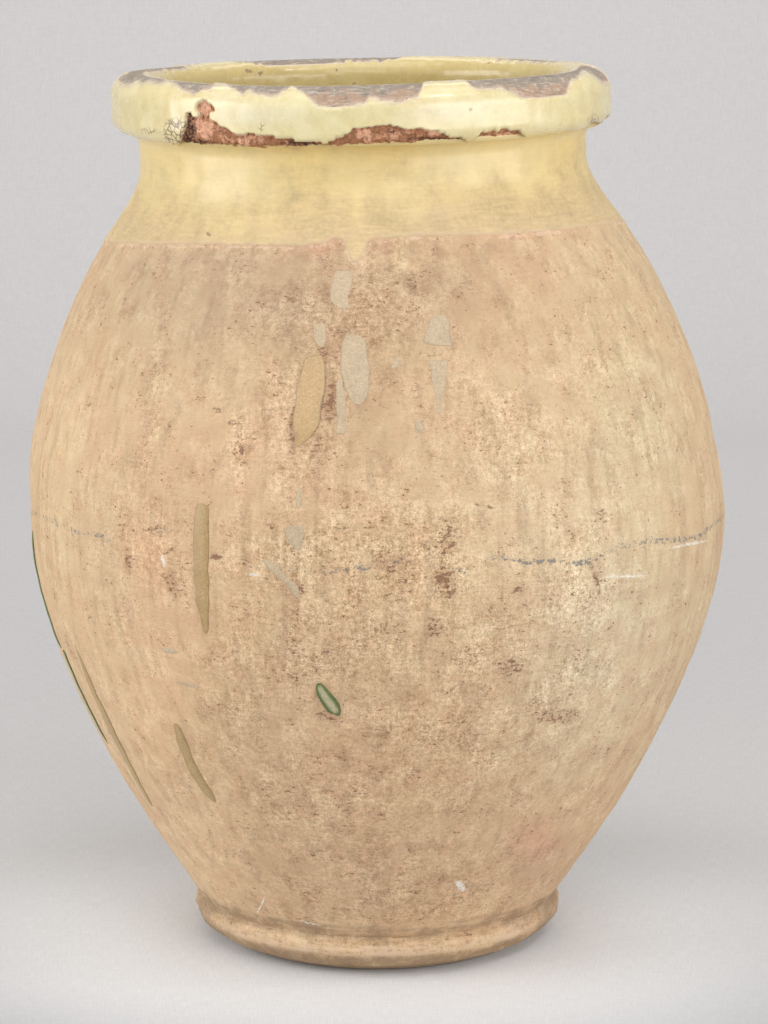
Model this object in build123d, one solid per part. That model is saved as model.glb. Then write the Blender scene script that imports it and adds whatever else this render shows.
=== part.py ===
from build123d import *
import math
import os

# Large olive jar: two thrown halves luted together at the belly, a coil rolled
# round the foot, a thick rolled rim, a yellow glaze over the collar and the rim,
# and a few glaze runs on the bare clay. Millimetres, +Z up, the front towards -Y,
# the origin at the centre of the flat underside. Heights of the lower half are
# above the floor. Rises of the upper half are above the belly joint, along the
# axis of that half, which leans a little to the left. Azimuths are in degrees
# from the front, positive to the right.

# Clay wall
wall = 14.0
floor_thickness = 22.0

# Lower half, outside, from the crease above the foot to the belly joint. The
# flare is the slope at the crease, outwards for each unit of height.
crease_radius = 139.5
crease_height = 34.0
belly_radius = 263.5
belly_height = 330.0
foot_flare = 0.62

# Foot: how far inside the crease the flat rest and the floor inside end, then
# the coil rolled round it, with a worn bevel and a bulge over the crease
foot_inset = 34.5
floor_inset = 33.5
foot_bevel_width = 23.0
foot_bevel_height = 8.0
foot_bulge = 2.5
foot_bulge_height = 20.0

# Belly joint, and how the upper half sits on the lower one
slip_height = 3.0
belly_step = 0.5
upper_lean = 1.7
upper_shift = -2.5

# Upper half, outside, from the belly joint to the straight neck below the rim
neck_radius = 166.0
neck_rise = 266.0
neck_length = 19.0

# Rolled rim, measured over its glaze: how far it stands out from the neck, how
# far its underside climbs on the way out, and its outer face with the rounding
rim_overhang = 20.5
rim_underside_climb = 8.0
rim_height = 37.0
rim_outer_rounding = 16.0
rim_inner_rounding = 13.0

# Yellow coat: how far below the neck its hem lies, and how much the hem slopes,
# in degrees, down towards the back
glaze = 1.2
hem_drop = 58.0
hem_dip = 4.8
hem_run_length = 24.0
hem_run_width = 26.0

# Glaze runs on the bare clay: thickness, the longest and the widest
run_thickness = 1.3
run_length = 136.0
run_width = 30.0

# Deepest bite into the clay along the rim's lower edge
chip_depth = 3.8

# Straight bands that each curved outline is turned in
outside_bands = 5
inside_bands = 2
outer_rounding_bands = 3
inner_rounding_bands = 2
run_rounding_bands = 4

# Length by which every cutter runs past what it cuts
overrun = 12.0

# Sizes that follow from those above
foot_rest_radius = crease_radius - foot_inset
floor_radius = crease_radius - floor_inset
upper_belly_radius = belly_radius + belly_step
hem_rise = neck_rise - hem_drop
rim_radius = neck_radius + rim_overhang
bore_radius = neck_radius - wall
rim_root_rise = neck_rise + neck_length
rim_edge_rise = rim_root_rise + rim_underside_climb
crest_rise = rim_edge_rise + rim_height
full_height = belly_height + crest_rise

# Where the outline swells between the crease and the belly, and between the belly
# and the neck: shares of the difference in radius and of the difference in height
lower_outline_shares = [
    (0.339, 0.223),
    (0.625, 0.443),
    (0.847, 0.662),
]
upper_outline_shares = [
    (0.087, 0.263),
    (0.321, 0.526),
    (0.73, 0.808),
]

# Where the yellow coat ran below its hem: azimuth, then the width as a share of
# the widest such run and the length as a share of the longest
hem_run_shares = [
    (-2.0, 0.58, 0.62),
    (8.0, 0.35, 1.0),
    (31.0, 1.0, 0.25),
]

# Bites out of the rim's lower edge: first and last azimuth, then the height as a
# share of the rim's height and the depth as a share of the deepest bite
rim_chip_shares = [
    (-43.5, -31.0, 0.51, 0.84),
    (-31.0, -12.5, 0.24, 0.95),
    (-6.0, 2.0, 0.22, 0.74),
    (2.0, 10.0, 0.35, 1.0),
    (10.0, 24.0, 0.24, 0.74),
    (27.0, 38.0, 0.12, 0.63),
    (61.0, 73.0, 0.14, 0.63),
]

# Crest worn to the clay: first and last azimuth, then the inner and outer edge of
# the patch as shares of the rim's width, from the bore to the outer face
crest_wear_shares = [
    (-58.0, -20.0, 0.58, 0.7),
    (-15.0, 15.0, 0.41, 0.9),
    (27.0, 56.0, 0.46, 0.84),
    (62.0, 76.0, 0.41, 0.75),
    (-96.0, -78.0, 0.46, 0.72),
]

# Glaze runs: azimuth, height of the middle as a share of the lower half, with 1
# for the joint and the rest as a share of the way up to the hem, length as a
# share of the longest, width at the head and at the tip as shares of the widest,
# and slant in degrees, positive when the tip swings to the right
ochre_run_shares = [
    (-9.6, 1.582, 0.47, 0.57, 0.3, 0.0),
    (-28.2, 1.014, 0.71, 0.33, 0.2, 1.0),
    (-60.8, 0.564, 1.0, 0.13, 0.23, 3.0),
    (-36.8, 0.539, 0.51, 0.2, 0.27, 8.0),
]
green_run_shares = [
    (-7.9, 0.73, 0.18, 0.3, 0.3, 38.0),
    (-70.5, 0.621, 0.46, 0.13, 0.17, 8.0),
    (-78.0, 0.909, 0.12, 0.17, 0.13, 6.0),
]
clear_run_shares = [
    (-4.2, 1.947, 0.15, 0.4, 0.3, -20.0),
    (-3.6, 1.702, 0.32, 1.0, 0.47, -8.0),
    (12.4, 1.793, 0.16, 0.6, 0.53, 0.0),
    (11.4, 1.649, 0.25, 0.47, 0.2, 0.0),
]


def turned(points, degrees=360.0):
    """A closed outline of (radius, height) points, turned about the Z axis."""
    section = make_face(Polyline(points, close=True))
    return revolve(Plane.XZ * section, Axis.Z, degrees)


def turned_arc(points, first, last):
    """The same, from one azimuth to another, counted from the front to the right."""
    piece = turned(points, last - first)
    return Rot(0, 0, first - 90.0) * piece


def along(curve, bands):
    """Points on a curve at equal steps, as (radius, height)."""
    places = [curve @ (step / bands) for step in range(bands + 1)]
    return [(place.X, place.Y) for place in places]


def inside_of(curve, bands):
    """Points one wall thickness inside a curve that climbs from its start."""
    points = []
    for step in range(bands + 1):
        place = curve @ (step / bands)
        way = curve % (step / bands)
        points.append((place.X - wall * way.Y, place.Y + wall * way.X))
    return points


def beside(points, distance):
    """A chain of points moved outwards, each straight stretch by the same distance."""
    moved = []
    last = len(points) - 1
    for index, (radius, height) in enumerate(points):
        before = points[max(index - 1, 0)]
        after = points[min(index + 1, last)]
        way_in = Vector(radius - before[0], height - before[1])
        way_out = Vector(after[0] - radius, after[1] - height)
        first = (way_in if index > 0 else way_out).normalized()
        second = (way_out if index < last else way_in).normalized()
        middle = (first + second).normalized()
        reach = distance / middle.dot(first)
        moved.append((radius + reach * middle.Y, height - reach * middle.X))
    return moved


def rounding(centre, radius, first, last, bands):
    """Points along an arc about a centre, between two angles in degrees."""
    points = []
    for step in range(bands + 1):
        angle = math.radians(first + (last - first) * step / bands)
        points.append((centre[0] + radius * math.cos(angle), centre[1] + radius * math.sin(angle)))
    return points


def between(start, end, shares):
    """Points from start to end, those between them at shares of both differences."""
    wide = end[0] - start[0]
    tall = end[1] - start[1]
    inner = [(start[0] + share[0] * wide, start[1] + share[1] * tall) for share in shares]
    return [start] + inner + [end]


def lower_curve():
    """The lower half's outline, from the crease above the foot to the joint."""
    crease = (crease_radius, crease_height)
    stations = between(crease, (belly_radius, belly_height), lower_outline_shares)
    return Spline(stations, tangents=[(foot_flare, 1), (0, 1)])


def upper_curve():
    """The upper half's outline, from the joint to the foot of the neck."""
    joint = (upper_belly_radius, 0)
    stations = between(joint, (neck_radius, neck_rise), upper_outline_shares)
    return Spline(stations, tangents=[(0, 1), (0, 1)])


def above(height):
    """The space above a level, wider than the jar."""
    side = 2 * (belly_radius + overrun)
    tall = full_height + overrun
    return Pos(0, 0, height + tall / 2) * Box(side, side, tall)


def seated(shape):
    """A shape of the upper half, leaned and set on the belly joint."""
    return Pos(upper_shift, 0, belly_height) * Rot(0, -upper_lean, 0) * shape


def lower_form(skin):
    """The whole lower half up to the joint, grown by a skin, as one solid."""
    top = belly_height - slip_height / 2
    outline = [(foot_rest_radius, 0)] + along(lower_curve(), outside_bands)
    outline[-1] = (belly_radius, top)
    outline = beside(outline, skin)
    outline[-1] = (outline[-1][0], top)
    return turned([(0, outline[0][1])] + outline + [(0, top)])


def lower_hollow():
    """The hollow of the lower half, from the floor to past the joint."""
    side = inside_of(lower_curve(), inside_bands)
    top = belly_height + overrun
    bottom = [(0, floor_thickness), (floor_radius, floor_thickness)]
    return turned(bottom + side + [(side[-1][0], top), (0, top)])


def upper_outline():
    """The upper half's outline, run down past the leaning cut at the joint."""
    skirt = upper_belly_radius * math.tan(math.radians(upper_lean)) + slip_height
    neck = [(neck_radius, rim_root_rise)]
    return [(upper_belly_radius, -skirt)] + along(upper_curve(), outside_bands) + neck


def upper_form(skin):
    """The whole upper half with its neck, grown by a skin, as one solid."""
    outline = beside(upper_outline(), skin)
    form = turned([(0, outline[0][1])] + outline + [(0, outline[-1][1])])
    return seated(form) & above(belly_height + slip_height / 2)


def upper_hollow():
    """The hollow of the upper half and the neck, from past the joint to past the top."""
    side = inside_of(upper_curve(), inside_bands)
    skirt = upper_outline()[0][1] - overrun
    top = rim_root_rise + overrun
    points = [(0, skirt), (side[0][0], skirt)] + side + [(side[-1][0], top), (0, top)]
    return seated(turned(points))


def joint_form(inset):
    """A short ruled band from the lower half's edge to the upper half's."""
    low = belly_height - slip_height / 2
    bottom = Pos(0, 0, low) * Circle(belly_radius - inset)
    top = Pos(upper_shift, 0, low + slip_height) * Circle(upper_belly_radius - inset)
    return loft([bottom, top], ruled=True)


def lower_wall():
    """The lower half as thrown: floor and belly, with a seat for the foot's coil."""
    return lower_form(0) - lower_hollow()


def foot_roll():
    """The coil rolled round the foot, worn to a bevel where the jar stands."""
    outline = [
        (foot_rest_radius, 0),
        (foot_rest_radius + foot_bevel_width, foot_bevel_height),
        (crease_radius + foot_bulge, foot_bulge_height),
        (crease_radius, crease_height),
    ]
    return turned(outline)


def belly_joint_slip():
    """The slip that lutes the halves together."""
    return joint_form(0) - joint_form(wall)


def upper_wall():
    """The upper half as thrown: shoulder and neck."""
    return upper_form(0) - upper_hollow()


def rim_outline(skin):
    """The rim's outline from its lower edge over the crest to the bore, at a skin."""
    radius = rim_radius - glaze + skin
    crest = crest_rise - glaze + skin
    bore = bore_radius - skin
    outer = rim_outer_rounding - glaze + skin
    inner = rim_inner_rounding - glaze + skin
    top = rounding((radius - outer, crest - outer), outer, 0, 90, outer_rounding_bands)
    mouth = rounding((bore + inner, crest - inner), inner, 90, 180, inner_rounding_bands)
    return [(radius, rim_edge_rise)] + top + mouth


def chip_cutter(first, last, height_share, depth_share):
    """A wedge along the rim's lower edge, deepest at the edge."""
    face = rim_radius + overrun
    base = rim_edge_rise - overrun
    height = height_share * rim_height
    inner = rim_radius - glaze - depth_share * chip_depth
    outline = [
        (inner, base),
        (face, base),
        (face, rim_edge_rise + height),
        (rim_radius, rim_edge_rise + height),
        (inner, rim_edge_rise + height / 2),
    ]
    return turned_arc(outline, first, last)


def wear_cutter(first, last, inner_share, outer_share):
    """A shallow band over the crest, down to the clay."""
    low = crest_rise - rim_outer_rounding
    high = crest_rise + overrun
    inner = bore_radius + inner_share * (rim_radius - bore_radius)
    outer = bore_radius + outer_share * (rim_radius - bore_radius)
    return turned_arc([(inner, low), (outer, low), (outer, high), (inner, high)], first, last)


def rim_roll():
    """The rolled rim, bitten along its lower edge."""
    root = [(bore_radius, rim_root_rise), (neck_radius, rim_root_rise)]
    roll = turned(root + rim_outline(0))
    for chip in rim_chip_shares:
        roll -= chip_cutter(*chip)
    return seated(roll)


def rim_glaze():
    """The yellow coat over the rim and down inside the neck, chipped and worn."""
    end = [(bore_radius - glaze, neck_rise), (bore_radius, neck_rise)]
    clay = rim_outline(0)
    coat = turned(rim_outline(glaze) + end + list(reversed(clay)))
    for chip in rim_chip_shares:
        coat -= chip_cutter(*chip)
    for patch in crest_wear_shares:
        coat -= wear_cutter(*patch)
    return seated(coat)


def hem_cutter():
    """What lies below the dipped hem, except where the glaze ran down."""
    side = 2 * (belly_radius + overrun)
    below = Rot(-hem_dip, 0, 0) * Pos(0, 0, -side / 2) * Box(side, side, side)
    cutter = Pos(0, 0, hem_rise) * below
    hem_radius = (upper_belly_radius + 3 * neck_radius) / 4
    for azimuth, width_share, length_share in hem_run_shares:
        dip = hem_radius * math.sin(math.radians(hem_dip)) * math.cos(math.radians(azimuth))
        top = hem_rise + dip + overrun
        tip = hem_rise + dip - length_share * hem_run_length
        half = width_share * hem_run_width / 2
        tongue = [(-half, top), (half, top), (half / 2, tip + half), (0, tip), (-half / 2, tip + half)]
        outline = Plane.XZ * make_face(Polyline(tongue, close=True))
        cutter -= Rot(0, 0, azimuth) * extrude(outline, side / 2)
    return cutter


def collar_glaze():
    """The yellow coat outside: dipped hem, shoulder, neck and the rim's underside."""
    clay = upper_outline()[2:] + [(rim_radius - glaze, rim_edge_rise)]
    coat = turned(beside(clay, glaze) + list(reversed(clay)))
    return seated(coat - hem_cutter())


def jar_form(skin):
    """The outside of both halves and the joint, grown by a skin, as one solid."""
    return lower_form(skin) + joint_form(-skin) + upper_form(skin)


def run_outline(length, head_width, tip_width):
    """A run of glaze: a blunt head and a blunt tip, with straight sides."""
    head_centre = (0, (length - head_width) / 2)
    tip_centre = (0, (tip_width - length) / 2)
    head = rounding(head_centre, head_width / 2, 0, 180, run_rounding_bands)
    tip = rounding(tip_centre, tip_width / 2, 180, 360, run_rounding_bands)
    return make_face(Polyline(head + tip, close=True))


def run_height(share):
    """The height for a share: up to 1 on the lower half, and above 1 up to the hem."""
    return min(share, 1) * belly_height + max(share - 1, 0) * hem_rise


def runs(skin, shares):
    """Each run of a table, as a slip of glaze that follows the jar's outside."""
    group = []
    for azimuth, height_share, length_share, head_share, tip_share, slant in shares:
        size = (length_share * run_length, head_share * run_width, tip_share * run_width)
        prism = extrude(Plane.XZ * (Rot(0, 0, slant) * run_outline(*size)), belly_radius + overrun)
        place = Rot(0, 0, azimuth) * Pos(0, 0, run_height(height_share))
        group.append(skin & (place * prism))
    return Compound(children=[solid for piece in group for solid in piece.solids()])


def save(name, shape):
    """Writes one sub-part under its name."""
    export_step(shape, "parts/" + name + ".step")


def build():
    """Makes every sub-part of the jar."""
    os.makedirs("parts", exist_ok=True)
    save("lower_wall", lower_wall())
    save("foot_roll", foot_roll())
    save("belly_joint_slip", belly_joint_slip())
    save("upper_wall", upper_wall())
    save("rim_roll", rim_roll())
    save("rim_glaze", rim_glaze())
    save("collar_glaze", collar_glaze())
    skin = jar_form(run_thickness) - jar_form(0)
    save("ochre_runs", runs(skin, ochre_run_shares))
    save("green_runs", runs(skin, green_run_shares))
    save("clear_runs", runs(skin, clear_run_shares))


build()
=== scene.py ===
import math

import bpy
import numpy as np
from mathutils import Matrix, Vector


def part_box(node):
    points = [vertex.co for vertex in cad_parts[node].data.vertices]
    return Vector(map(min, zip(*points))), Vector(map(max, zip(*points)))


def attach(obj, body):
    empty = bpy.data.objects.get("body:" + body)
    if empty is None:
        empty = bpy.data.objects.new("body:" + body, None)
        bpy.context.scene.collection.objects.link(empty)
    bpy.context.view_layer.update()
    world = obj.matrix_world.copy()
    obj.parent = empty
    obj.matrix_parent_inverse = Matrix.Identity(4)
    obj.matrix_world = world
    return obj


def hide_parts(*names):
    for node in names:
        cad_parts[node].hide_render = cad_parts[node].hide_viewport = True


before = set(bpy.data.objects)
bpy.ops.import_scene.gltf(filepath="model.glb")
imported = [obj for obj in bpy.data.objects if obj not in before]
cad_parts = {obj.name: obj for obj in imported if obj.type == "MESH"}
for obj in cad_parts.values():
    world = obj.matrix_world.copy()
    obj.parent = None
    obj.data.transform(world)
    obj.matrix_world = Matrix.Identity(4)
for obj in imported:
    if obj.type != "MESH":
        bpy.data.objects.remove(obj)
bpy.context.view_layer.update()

# A large olive jar. Lengths are in metres in the jar's own frame: +Z up, the front
# towards -Y, the origin at the centre of the flat underside. A place on the jar is
# an azimuth from the front (positive to the right), a radius and a height, all for
# the jar standing straight; seat() then leans the upper half as the real one leans.
MM = 0.001

# Sizes of the thrown clay, outside. A station is a radius and a height
SLIP = 3 * MM
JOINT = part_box("belly_joint_slip")[0].z + SLIP / 2
BELLY = 263.3 * MM
NECK = 165.8 * MM
FOOT_FLAT = 105 * MM
CREASE = (139.5 * MM, 34 * MM)
LOWER_STATIONS = [CREASE, (181.6 * MM, 100 * MM), (217 * MM, 165 * MM), (244.5 * MM, 230 * MM),
                  (BELLY, JOINT)]
UPPER_STATIONS = [(BELLY, JOINT), (255 * MM, JOINT + 70 * MM), (232.2 * MM, JOINT + 140 * MM),
                  (192.4 * MM, JOINT + 215 * MM), (NECK, JOINT + 266 * MM)]
FOOT_FLARE = 0.62
ROOT = JOINT + 285 * MM
RIM_RADIUS = 185.2 * MM
RIM_EDGE = JOINT + 292.4 * MM
CREST = JOINT + 328.6 * MM
RIM_OUTER_ROUNDING = 16 * MM
RIM_INNER_ROUNDING = 13 * MM
LIP_ROUNDING = 9 * MM
LIP_START = 8 * MM
WALL = 14 * MM
BORE = NECK - WALL
FLOOR_TOP = 22 * MM
FLOOR_RADIUS = 106 * MM
GLAZE = 1.1 * MM
# A wall's row lies this near a joint, and the rim's clay this far above the wall
EDGE = 0.3 * MM
ROOT_GAP = 0.5 * MM

# How the upper half leans: its axis goes left, and the rim is more level than it
LEAN = math.radians(1.7)
RIM_TILT = math.radians(1.05)
SHIFT = -2.6 * MM
SETTLING = 60 * MM

# The photograph's camera, its frame in pixels, and how large a pixel is at the jar
EYE = (4.83 * MM, -2614 * MM, 840 * MM)
PITCH = math.radians(78.88)
FOCAL = 3503.0
PHOTO_WIDTH, PHOTO_HEIGHT = 768, 1024
SENSOR = 36.0
PIXEL = 0.75 * MM
UNSEEN = -900.0

# Grid sizes: columns round the jar, closer together in front by a crowding share
COLUMNS = 860
CROWDING = 0.34
RIM_COLUMNS = 1080
RIM_CROWDING = 0.3
COLLAR_COLUMNS = 1050


def smooth_step(value, low, high):
    """0 below low, 1 above high, and an S-shaped cubic between them."""
    share = np.clip((value - low) / (high - low), 0, 1)
    return share * share * (3 - 2 * share)


def looked_up(x, table):
    """The value at x on straight lines between a table's pairs."""
    return np.interp(x, *zip(*table))


def spline(places, values, first_slope, last_slope):
    """The cubic spline through the values, with the slope given at both ends."""
    places, values = np.array(places, float), np.array(values, float)
    steps = np.diff(places)
    rises = np.diff(values) / steps
    count = len(places)
    matrix, right = np.eye(count), np.zeros(count)
    right[0], right[-1] = first_slope, last_slope
    for i in range(1, count - 1):
        matrix[i, i - 1:i + 2] = steps[i], 2 * (steps[i - 1] + steps[i]), steps[i - 1]
        right[i] = 3 * (steps[i] * rises[i - 1] + steps[i - 1] * rises[i])
    slopes = np.linalg.solve(matrix, right)

    def curve(at):
        """The cubic between the two values beside each place, with their two slopes."""
        at = np.clip(at, places[0], places[-1])
        i = np.clip(np.searchsorted(places, at) - 1, 0, count - 2)
        share = (at - places[i]) / steps[i]
        back = 1 - share
        ends = values[i] * back**2 * (1 + 2 * share) + values[i + 1] * share**2 * (3 - 2 * share)
        return ends + steps[i] * share * back * (slopes[i] * back - slopes[i + 1] * share)

    return curve


lower_curve = spline([z for r, z in LOWER_STATIONS], [r for r, z in LOWER_STATIONS], FOOT_FLARE, 0)
upper_curve = spline([z for r, z in UPPER_STATIONS], [r for r, z in UPPER_STATIONS], 0, 0)


def outline(height):
    """The radius outside at a height: one spline below the joint, one above it."""
    return np.where(height < JOINT, lower_curve(height), upper_curve(height))


def seat(azimuth, radius, height):
    """Turns azimuth, radius and height into a point, with the upper half leaning.

    Above the joint the centre goes left by the lean times the rise, and each ring
    tips by the lean, a little less at the rim. Both begin softly at the joint."""
    rise = np.maximum(height - JOINT, 0)
    settled = smooth_step(rise, 0, SETTLING)
    tilt = LEAN * smooth_step(rise, 0, 1.5 * SETTLING)
    tilt = tilt + (RIM_TILT - LEAN) * smooth_step(rise, 235 * MM, 300 * MM)
    across = radius * np.sin(azimuth)
    x = SHIFT * settled - rise * math.sin(LEAN) * settled + across
    y = -radius * np.cos(azimuth)
    z = height + across * np.sin(tilt)
    return np.stack(np.broadcast_arrays(x, y, z), axis=-1)


# How many plane waves make up the noise, and the jar's mean radius for it
WAVE_COUNT = 28
WAVE_RADIUS = 0.2


def waves(azimuth, height, size, seed):
    """Smooth noise that closes round the jar, about -1 to 1: a sum of plane waves of
    about the given size on a mean radius, with whole numbers of turns round the jar."""
    rng = np.random.default_rng(seed)
    turns = 2 * math.pi * WAVE_RADIUS / size
    total = 0.0
    for _ in range(WAVE_COUNT):
        way = rng.uniform(0, 2 * math.pi)
        rate = turns * rng.uniform(0.6, 1.4)
        around = round(rate * math.cos(way))
        up = rate * math.sin(way) / WAVE_RADIUS
        total = total + np.cos(around * azimuth + up * height + rng.uniform(0, 2 * math.pi))
    return total / math.sqrt(WAVE_COUNT)


def front_share(azimuth, low=-0.05, high=0.1):
    """1 on the side that the photograph shows and 0 on the far side, an S-shaped step of
    the azimuth's cosine."""
    return smooth_step(np.cos(azimuth), low, high)


def project(points):
    """Pixel x and y in the photograph's frame of points of the jar."""
    offset = points - np.array(EYE)
    sine, cosine = math.sin(PITCH), math.cos(PITCH)
    depth = offset[..., 1] * sine - offset[..., 2] * cosine
    up = offset[..., 1] * cosine + offset[..., 2] * sine
    x = PHOTO_WIDTH / 2 + FOCAL * offset[..., 0] / depth
    return x, PHOTO_HEIGHT / 2 - FOCAL * up / depth


# How far apart the finger rings are, and how far the wall lies inside its outline
RING_PITCH = 17 * MM
RELIEF_DEPTH = 0.9 * MM


def throwing_relief(azimuth, height):
    """How far the thrown wall lies inside its outline: a slow wobble, finger rings
    that climb gently and are deeper low down, dents, and a soft swelling at the joint."""
    wobble = 0.35 * MM * waves(azimuth, height, 0.16, 11)
    low = 1 - smooth_step(height, 60 * MM, 420 * MM)
    drift = azimuth / (2 * math.pi)
    ribs = np.sin(2 * math.pi * (height / RING_PITCH + drift) + waves(azimuth, height, 0.2, 15))
    ribs = ribs * (0.04 + 0.13 * low) * MM * (0.7 + 0.5 * waves(azimuth, height, 0.11, 12))
    dents = 0.2 * MM * waves(azimuth, height, 0.035, 13)
    seam = np.exp(-((height - JOINT) / (6 * MM)) ** 2)
    ridge = seam * (0.15 + 0.2 * waves(azimuth, 0.0, 0.05, 14)) * MM
    return wobble + ribs + dents + ridge - RELIEF_DEPTH


def clay_surface(azimuth, height, out=0.0):
    """A point of the bare clay outside, moved out by a length."""
    return seat(azimuth, outline(height) + throwing_relief(azimuth, height) + out, height)


def columns(count=COLUMNS, crowding=CROWDING):
    """Azimuths all round, without the last one that equals the first, moved together
    at the front: each by a sine of itself."""
    even = np.linspace(-math.pi, math.pi, count, endpoint=False)
    return even - crowding * np.sin(even)


def grid_faces(rows, cols, looped, first=0):
    """Squares of a grid that closes round its columns, and round its rows if looped.
    Without looping, two fans of triangles close it on two points kept after the grid."""
    index = first + np.arange(rows * cols).reshape(rows, cols)
    upper = np.roll(index, -1, axis=0) if looped else index[1:]
    lower = index if looped else index[:-1]
    quads = np.stack([lower, np.roll(lower, -1, 1), np.roll(upper, -1, 1), upper], -1).reshape(-1, 4)
    if looped:
        return quads, np.zeros((0, 3), int)
    low, high = first + rows * cols, first + rows * cols + 1
    bottom = np.stack([np.roll(index[0], -1), index[0], np.full(cols, low)], -1)
    top = np.stack([index[-1], np.roll(index[-1], -1), np.full(cols, high)], -1)
    return quads, np.vstack([bottom, top])


def woven(name, points, looped=False, attributes=None, flat_rows=()):
    """A closed mesh from a grid of points, rows by columns, that closes round the jar.

    With looped, the last row joins the first, as round a ring. Without it, both ends
    close on their middle. Attributes hold one number, or three, for each point. The
    squares after each flat row are shaded flat, so that the rows beside them stay true."""
    rows, cols = points.shape[:2]
    quads, triangles = grid_faces(rows, cols, looped)
    flat = points.reshape(-1, 3)
    if not looped:
        flat = np.vstack([flat, points[0].mean(0), points[-1].mean(0)])
    sharp = [row * cols + col for row in flat_rows for col in range(cols)]
    return mesh_piece(name, flat, quads, triangles, attributes, sharp)


def mesh_piece(name, points, quads, triangles, attributes=None, sharp=()):
    """An object from points, squares and triangles, turned so that faces look outwards."""
    size = np.concatenate([np.full(len(quads), 4), np.full(len(triangles), 3)])
    a, b, c, d = (points[quads[:, i]] for i in range(4))
    volume = np.einsum("ij,ij->", a, np.cross(b, c)) + np.einsum("ij,ij->", a, np.cross(c, d))
    p, q, r = (points[triangles[:, i]] for i in range(3))
    volume += np.einsum("ij,ij->", p, np.cross(q, r))
    if volume < 0:
        quads, triangles = quads[:, ::-1], triangles[:, ::-1]
    corners = np.concatenate([quads.ravel(), triangles.ravel()])
    mesh = bpy.data.meshes.new(name)
    mesh.vertices.add(len(points))
    mesh.vertices.foreach_set("co", points.astype(np.float32).ravel())
    mesh.loops.add(len(corners))
    mesh.loops.foreach_set("vertex_index", corners.astype(np.int32))
    mesh.polygons.add(len(size))
    mesh.polygons.foreach_set("loop_start", (np.cumsum(size) - size).astype(np.int32))
    mesh.polygons.foreach_set("loop_total", size.astype(np.int32))
    smooth = np.ones(len(size), bool)
    smooth[list(sharp)] = False
    mesh.polygons.foreach_set("use_smooth", smooth)
    for label, values in (attributes or {}).items():
        width = 3 if values.ndim == 3 else 1
        full = np.zeros(len(points) * width, np.float32)
        full[:values.size] = values.ravel()
        layer = mesh.attributes.new(label, "FLOAT_VECTOR" if width == 3 else "FLOAT", "POINT")
        layer.data.foreach_set("vector" if width == 3 else "value", full)
    mesh.update(calc_edges=True)
    mesh.validate()
    piece = bpy.data.objects.new(name, mesh)
    bpy.context.scene.collection.objects.link(piece)
    return piece


def settle(piece, material, slot, *nodes):
    """Gives a piece its finish and its body, and hides the nodes that it stands for. The slot is not used.
    """
    piece.data.materials.append(material)
    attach(piece, "root")
    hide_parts(*nodes)
    return piece


# Stains of the bare clay, by their place in the photograph: x, y, half width, half
# height, turn in degrees clockwise, strength. First the clusters of rusty crust
RUST_STAINS = [
    (447, 540, 10, 24, 6, 0.9), (445, 580, 12, 22, -6, 1.0), (434, 628, 10, 12, 10, 0.8),
    (600, 513, 9, 5, 0, 0.7), (571, 534, 6, 8, 0, 0.6), (519, 461, 5, 4, 0, 0.8),
    (512, 668, 17, 11, -20, 0.75), (564, 716, 24, 7, -6, 0.8), (300, 678, 11, 7, 0, 0.8),
    (326, 716, 12, 5, 12, 0.9), (411, 284, 5, 10, -20, 0.8), (330, 402, 6, 26, 8, 0.9),
    (322, 352, 12, 14, 0, 0.6), (347, 366, 6, 8, 0, 0.9), (375, 343, 10, 6, 0, 0.6),
    (128, 562, 4, 16, 0, 0.9), (172, 585, 6, 14, -20, 0.8), (162, 530, 12, 8, 0, 0.6),
    (217, 556, 7, 4, 0, 0.9), (246, 558, 6, 4, 0, 0.7), (520, 590, 9, 7, 0, 0.8),
    (600, 575, 7, 10, 0, 0.6), (630, 595, 20, 8, 0, 0.4), (300, 590, 5, 8, 0, 1.0),
    (292, 440, 5, 20, 0, 0.7), (146, 400, 7, 60, 8, 0.35), (330, 655, 20, 20, 0, 0.4),
    (385, 560, 30, 20, 0, 0.45), (560, 640, 20, 30, 0, 0.35), (500, 620, 20, 20, 0, 0.4),
]
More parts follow.
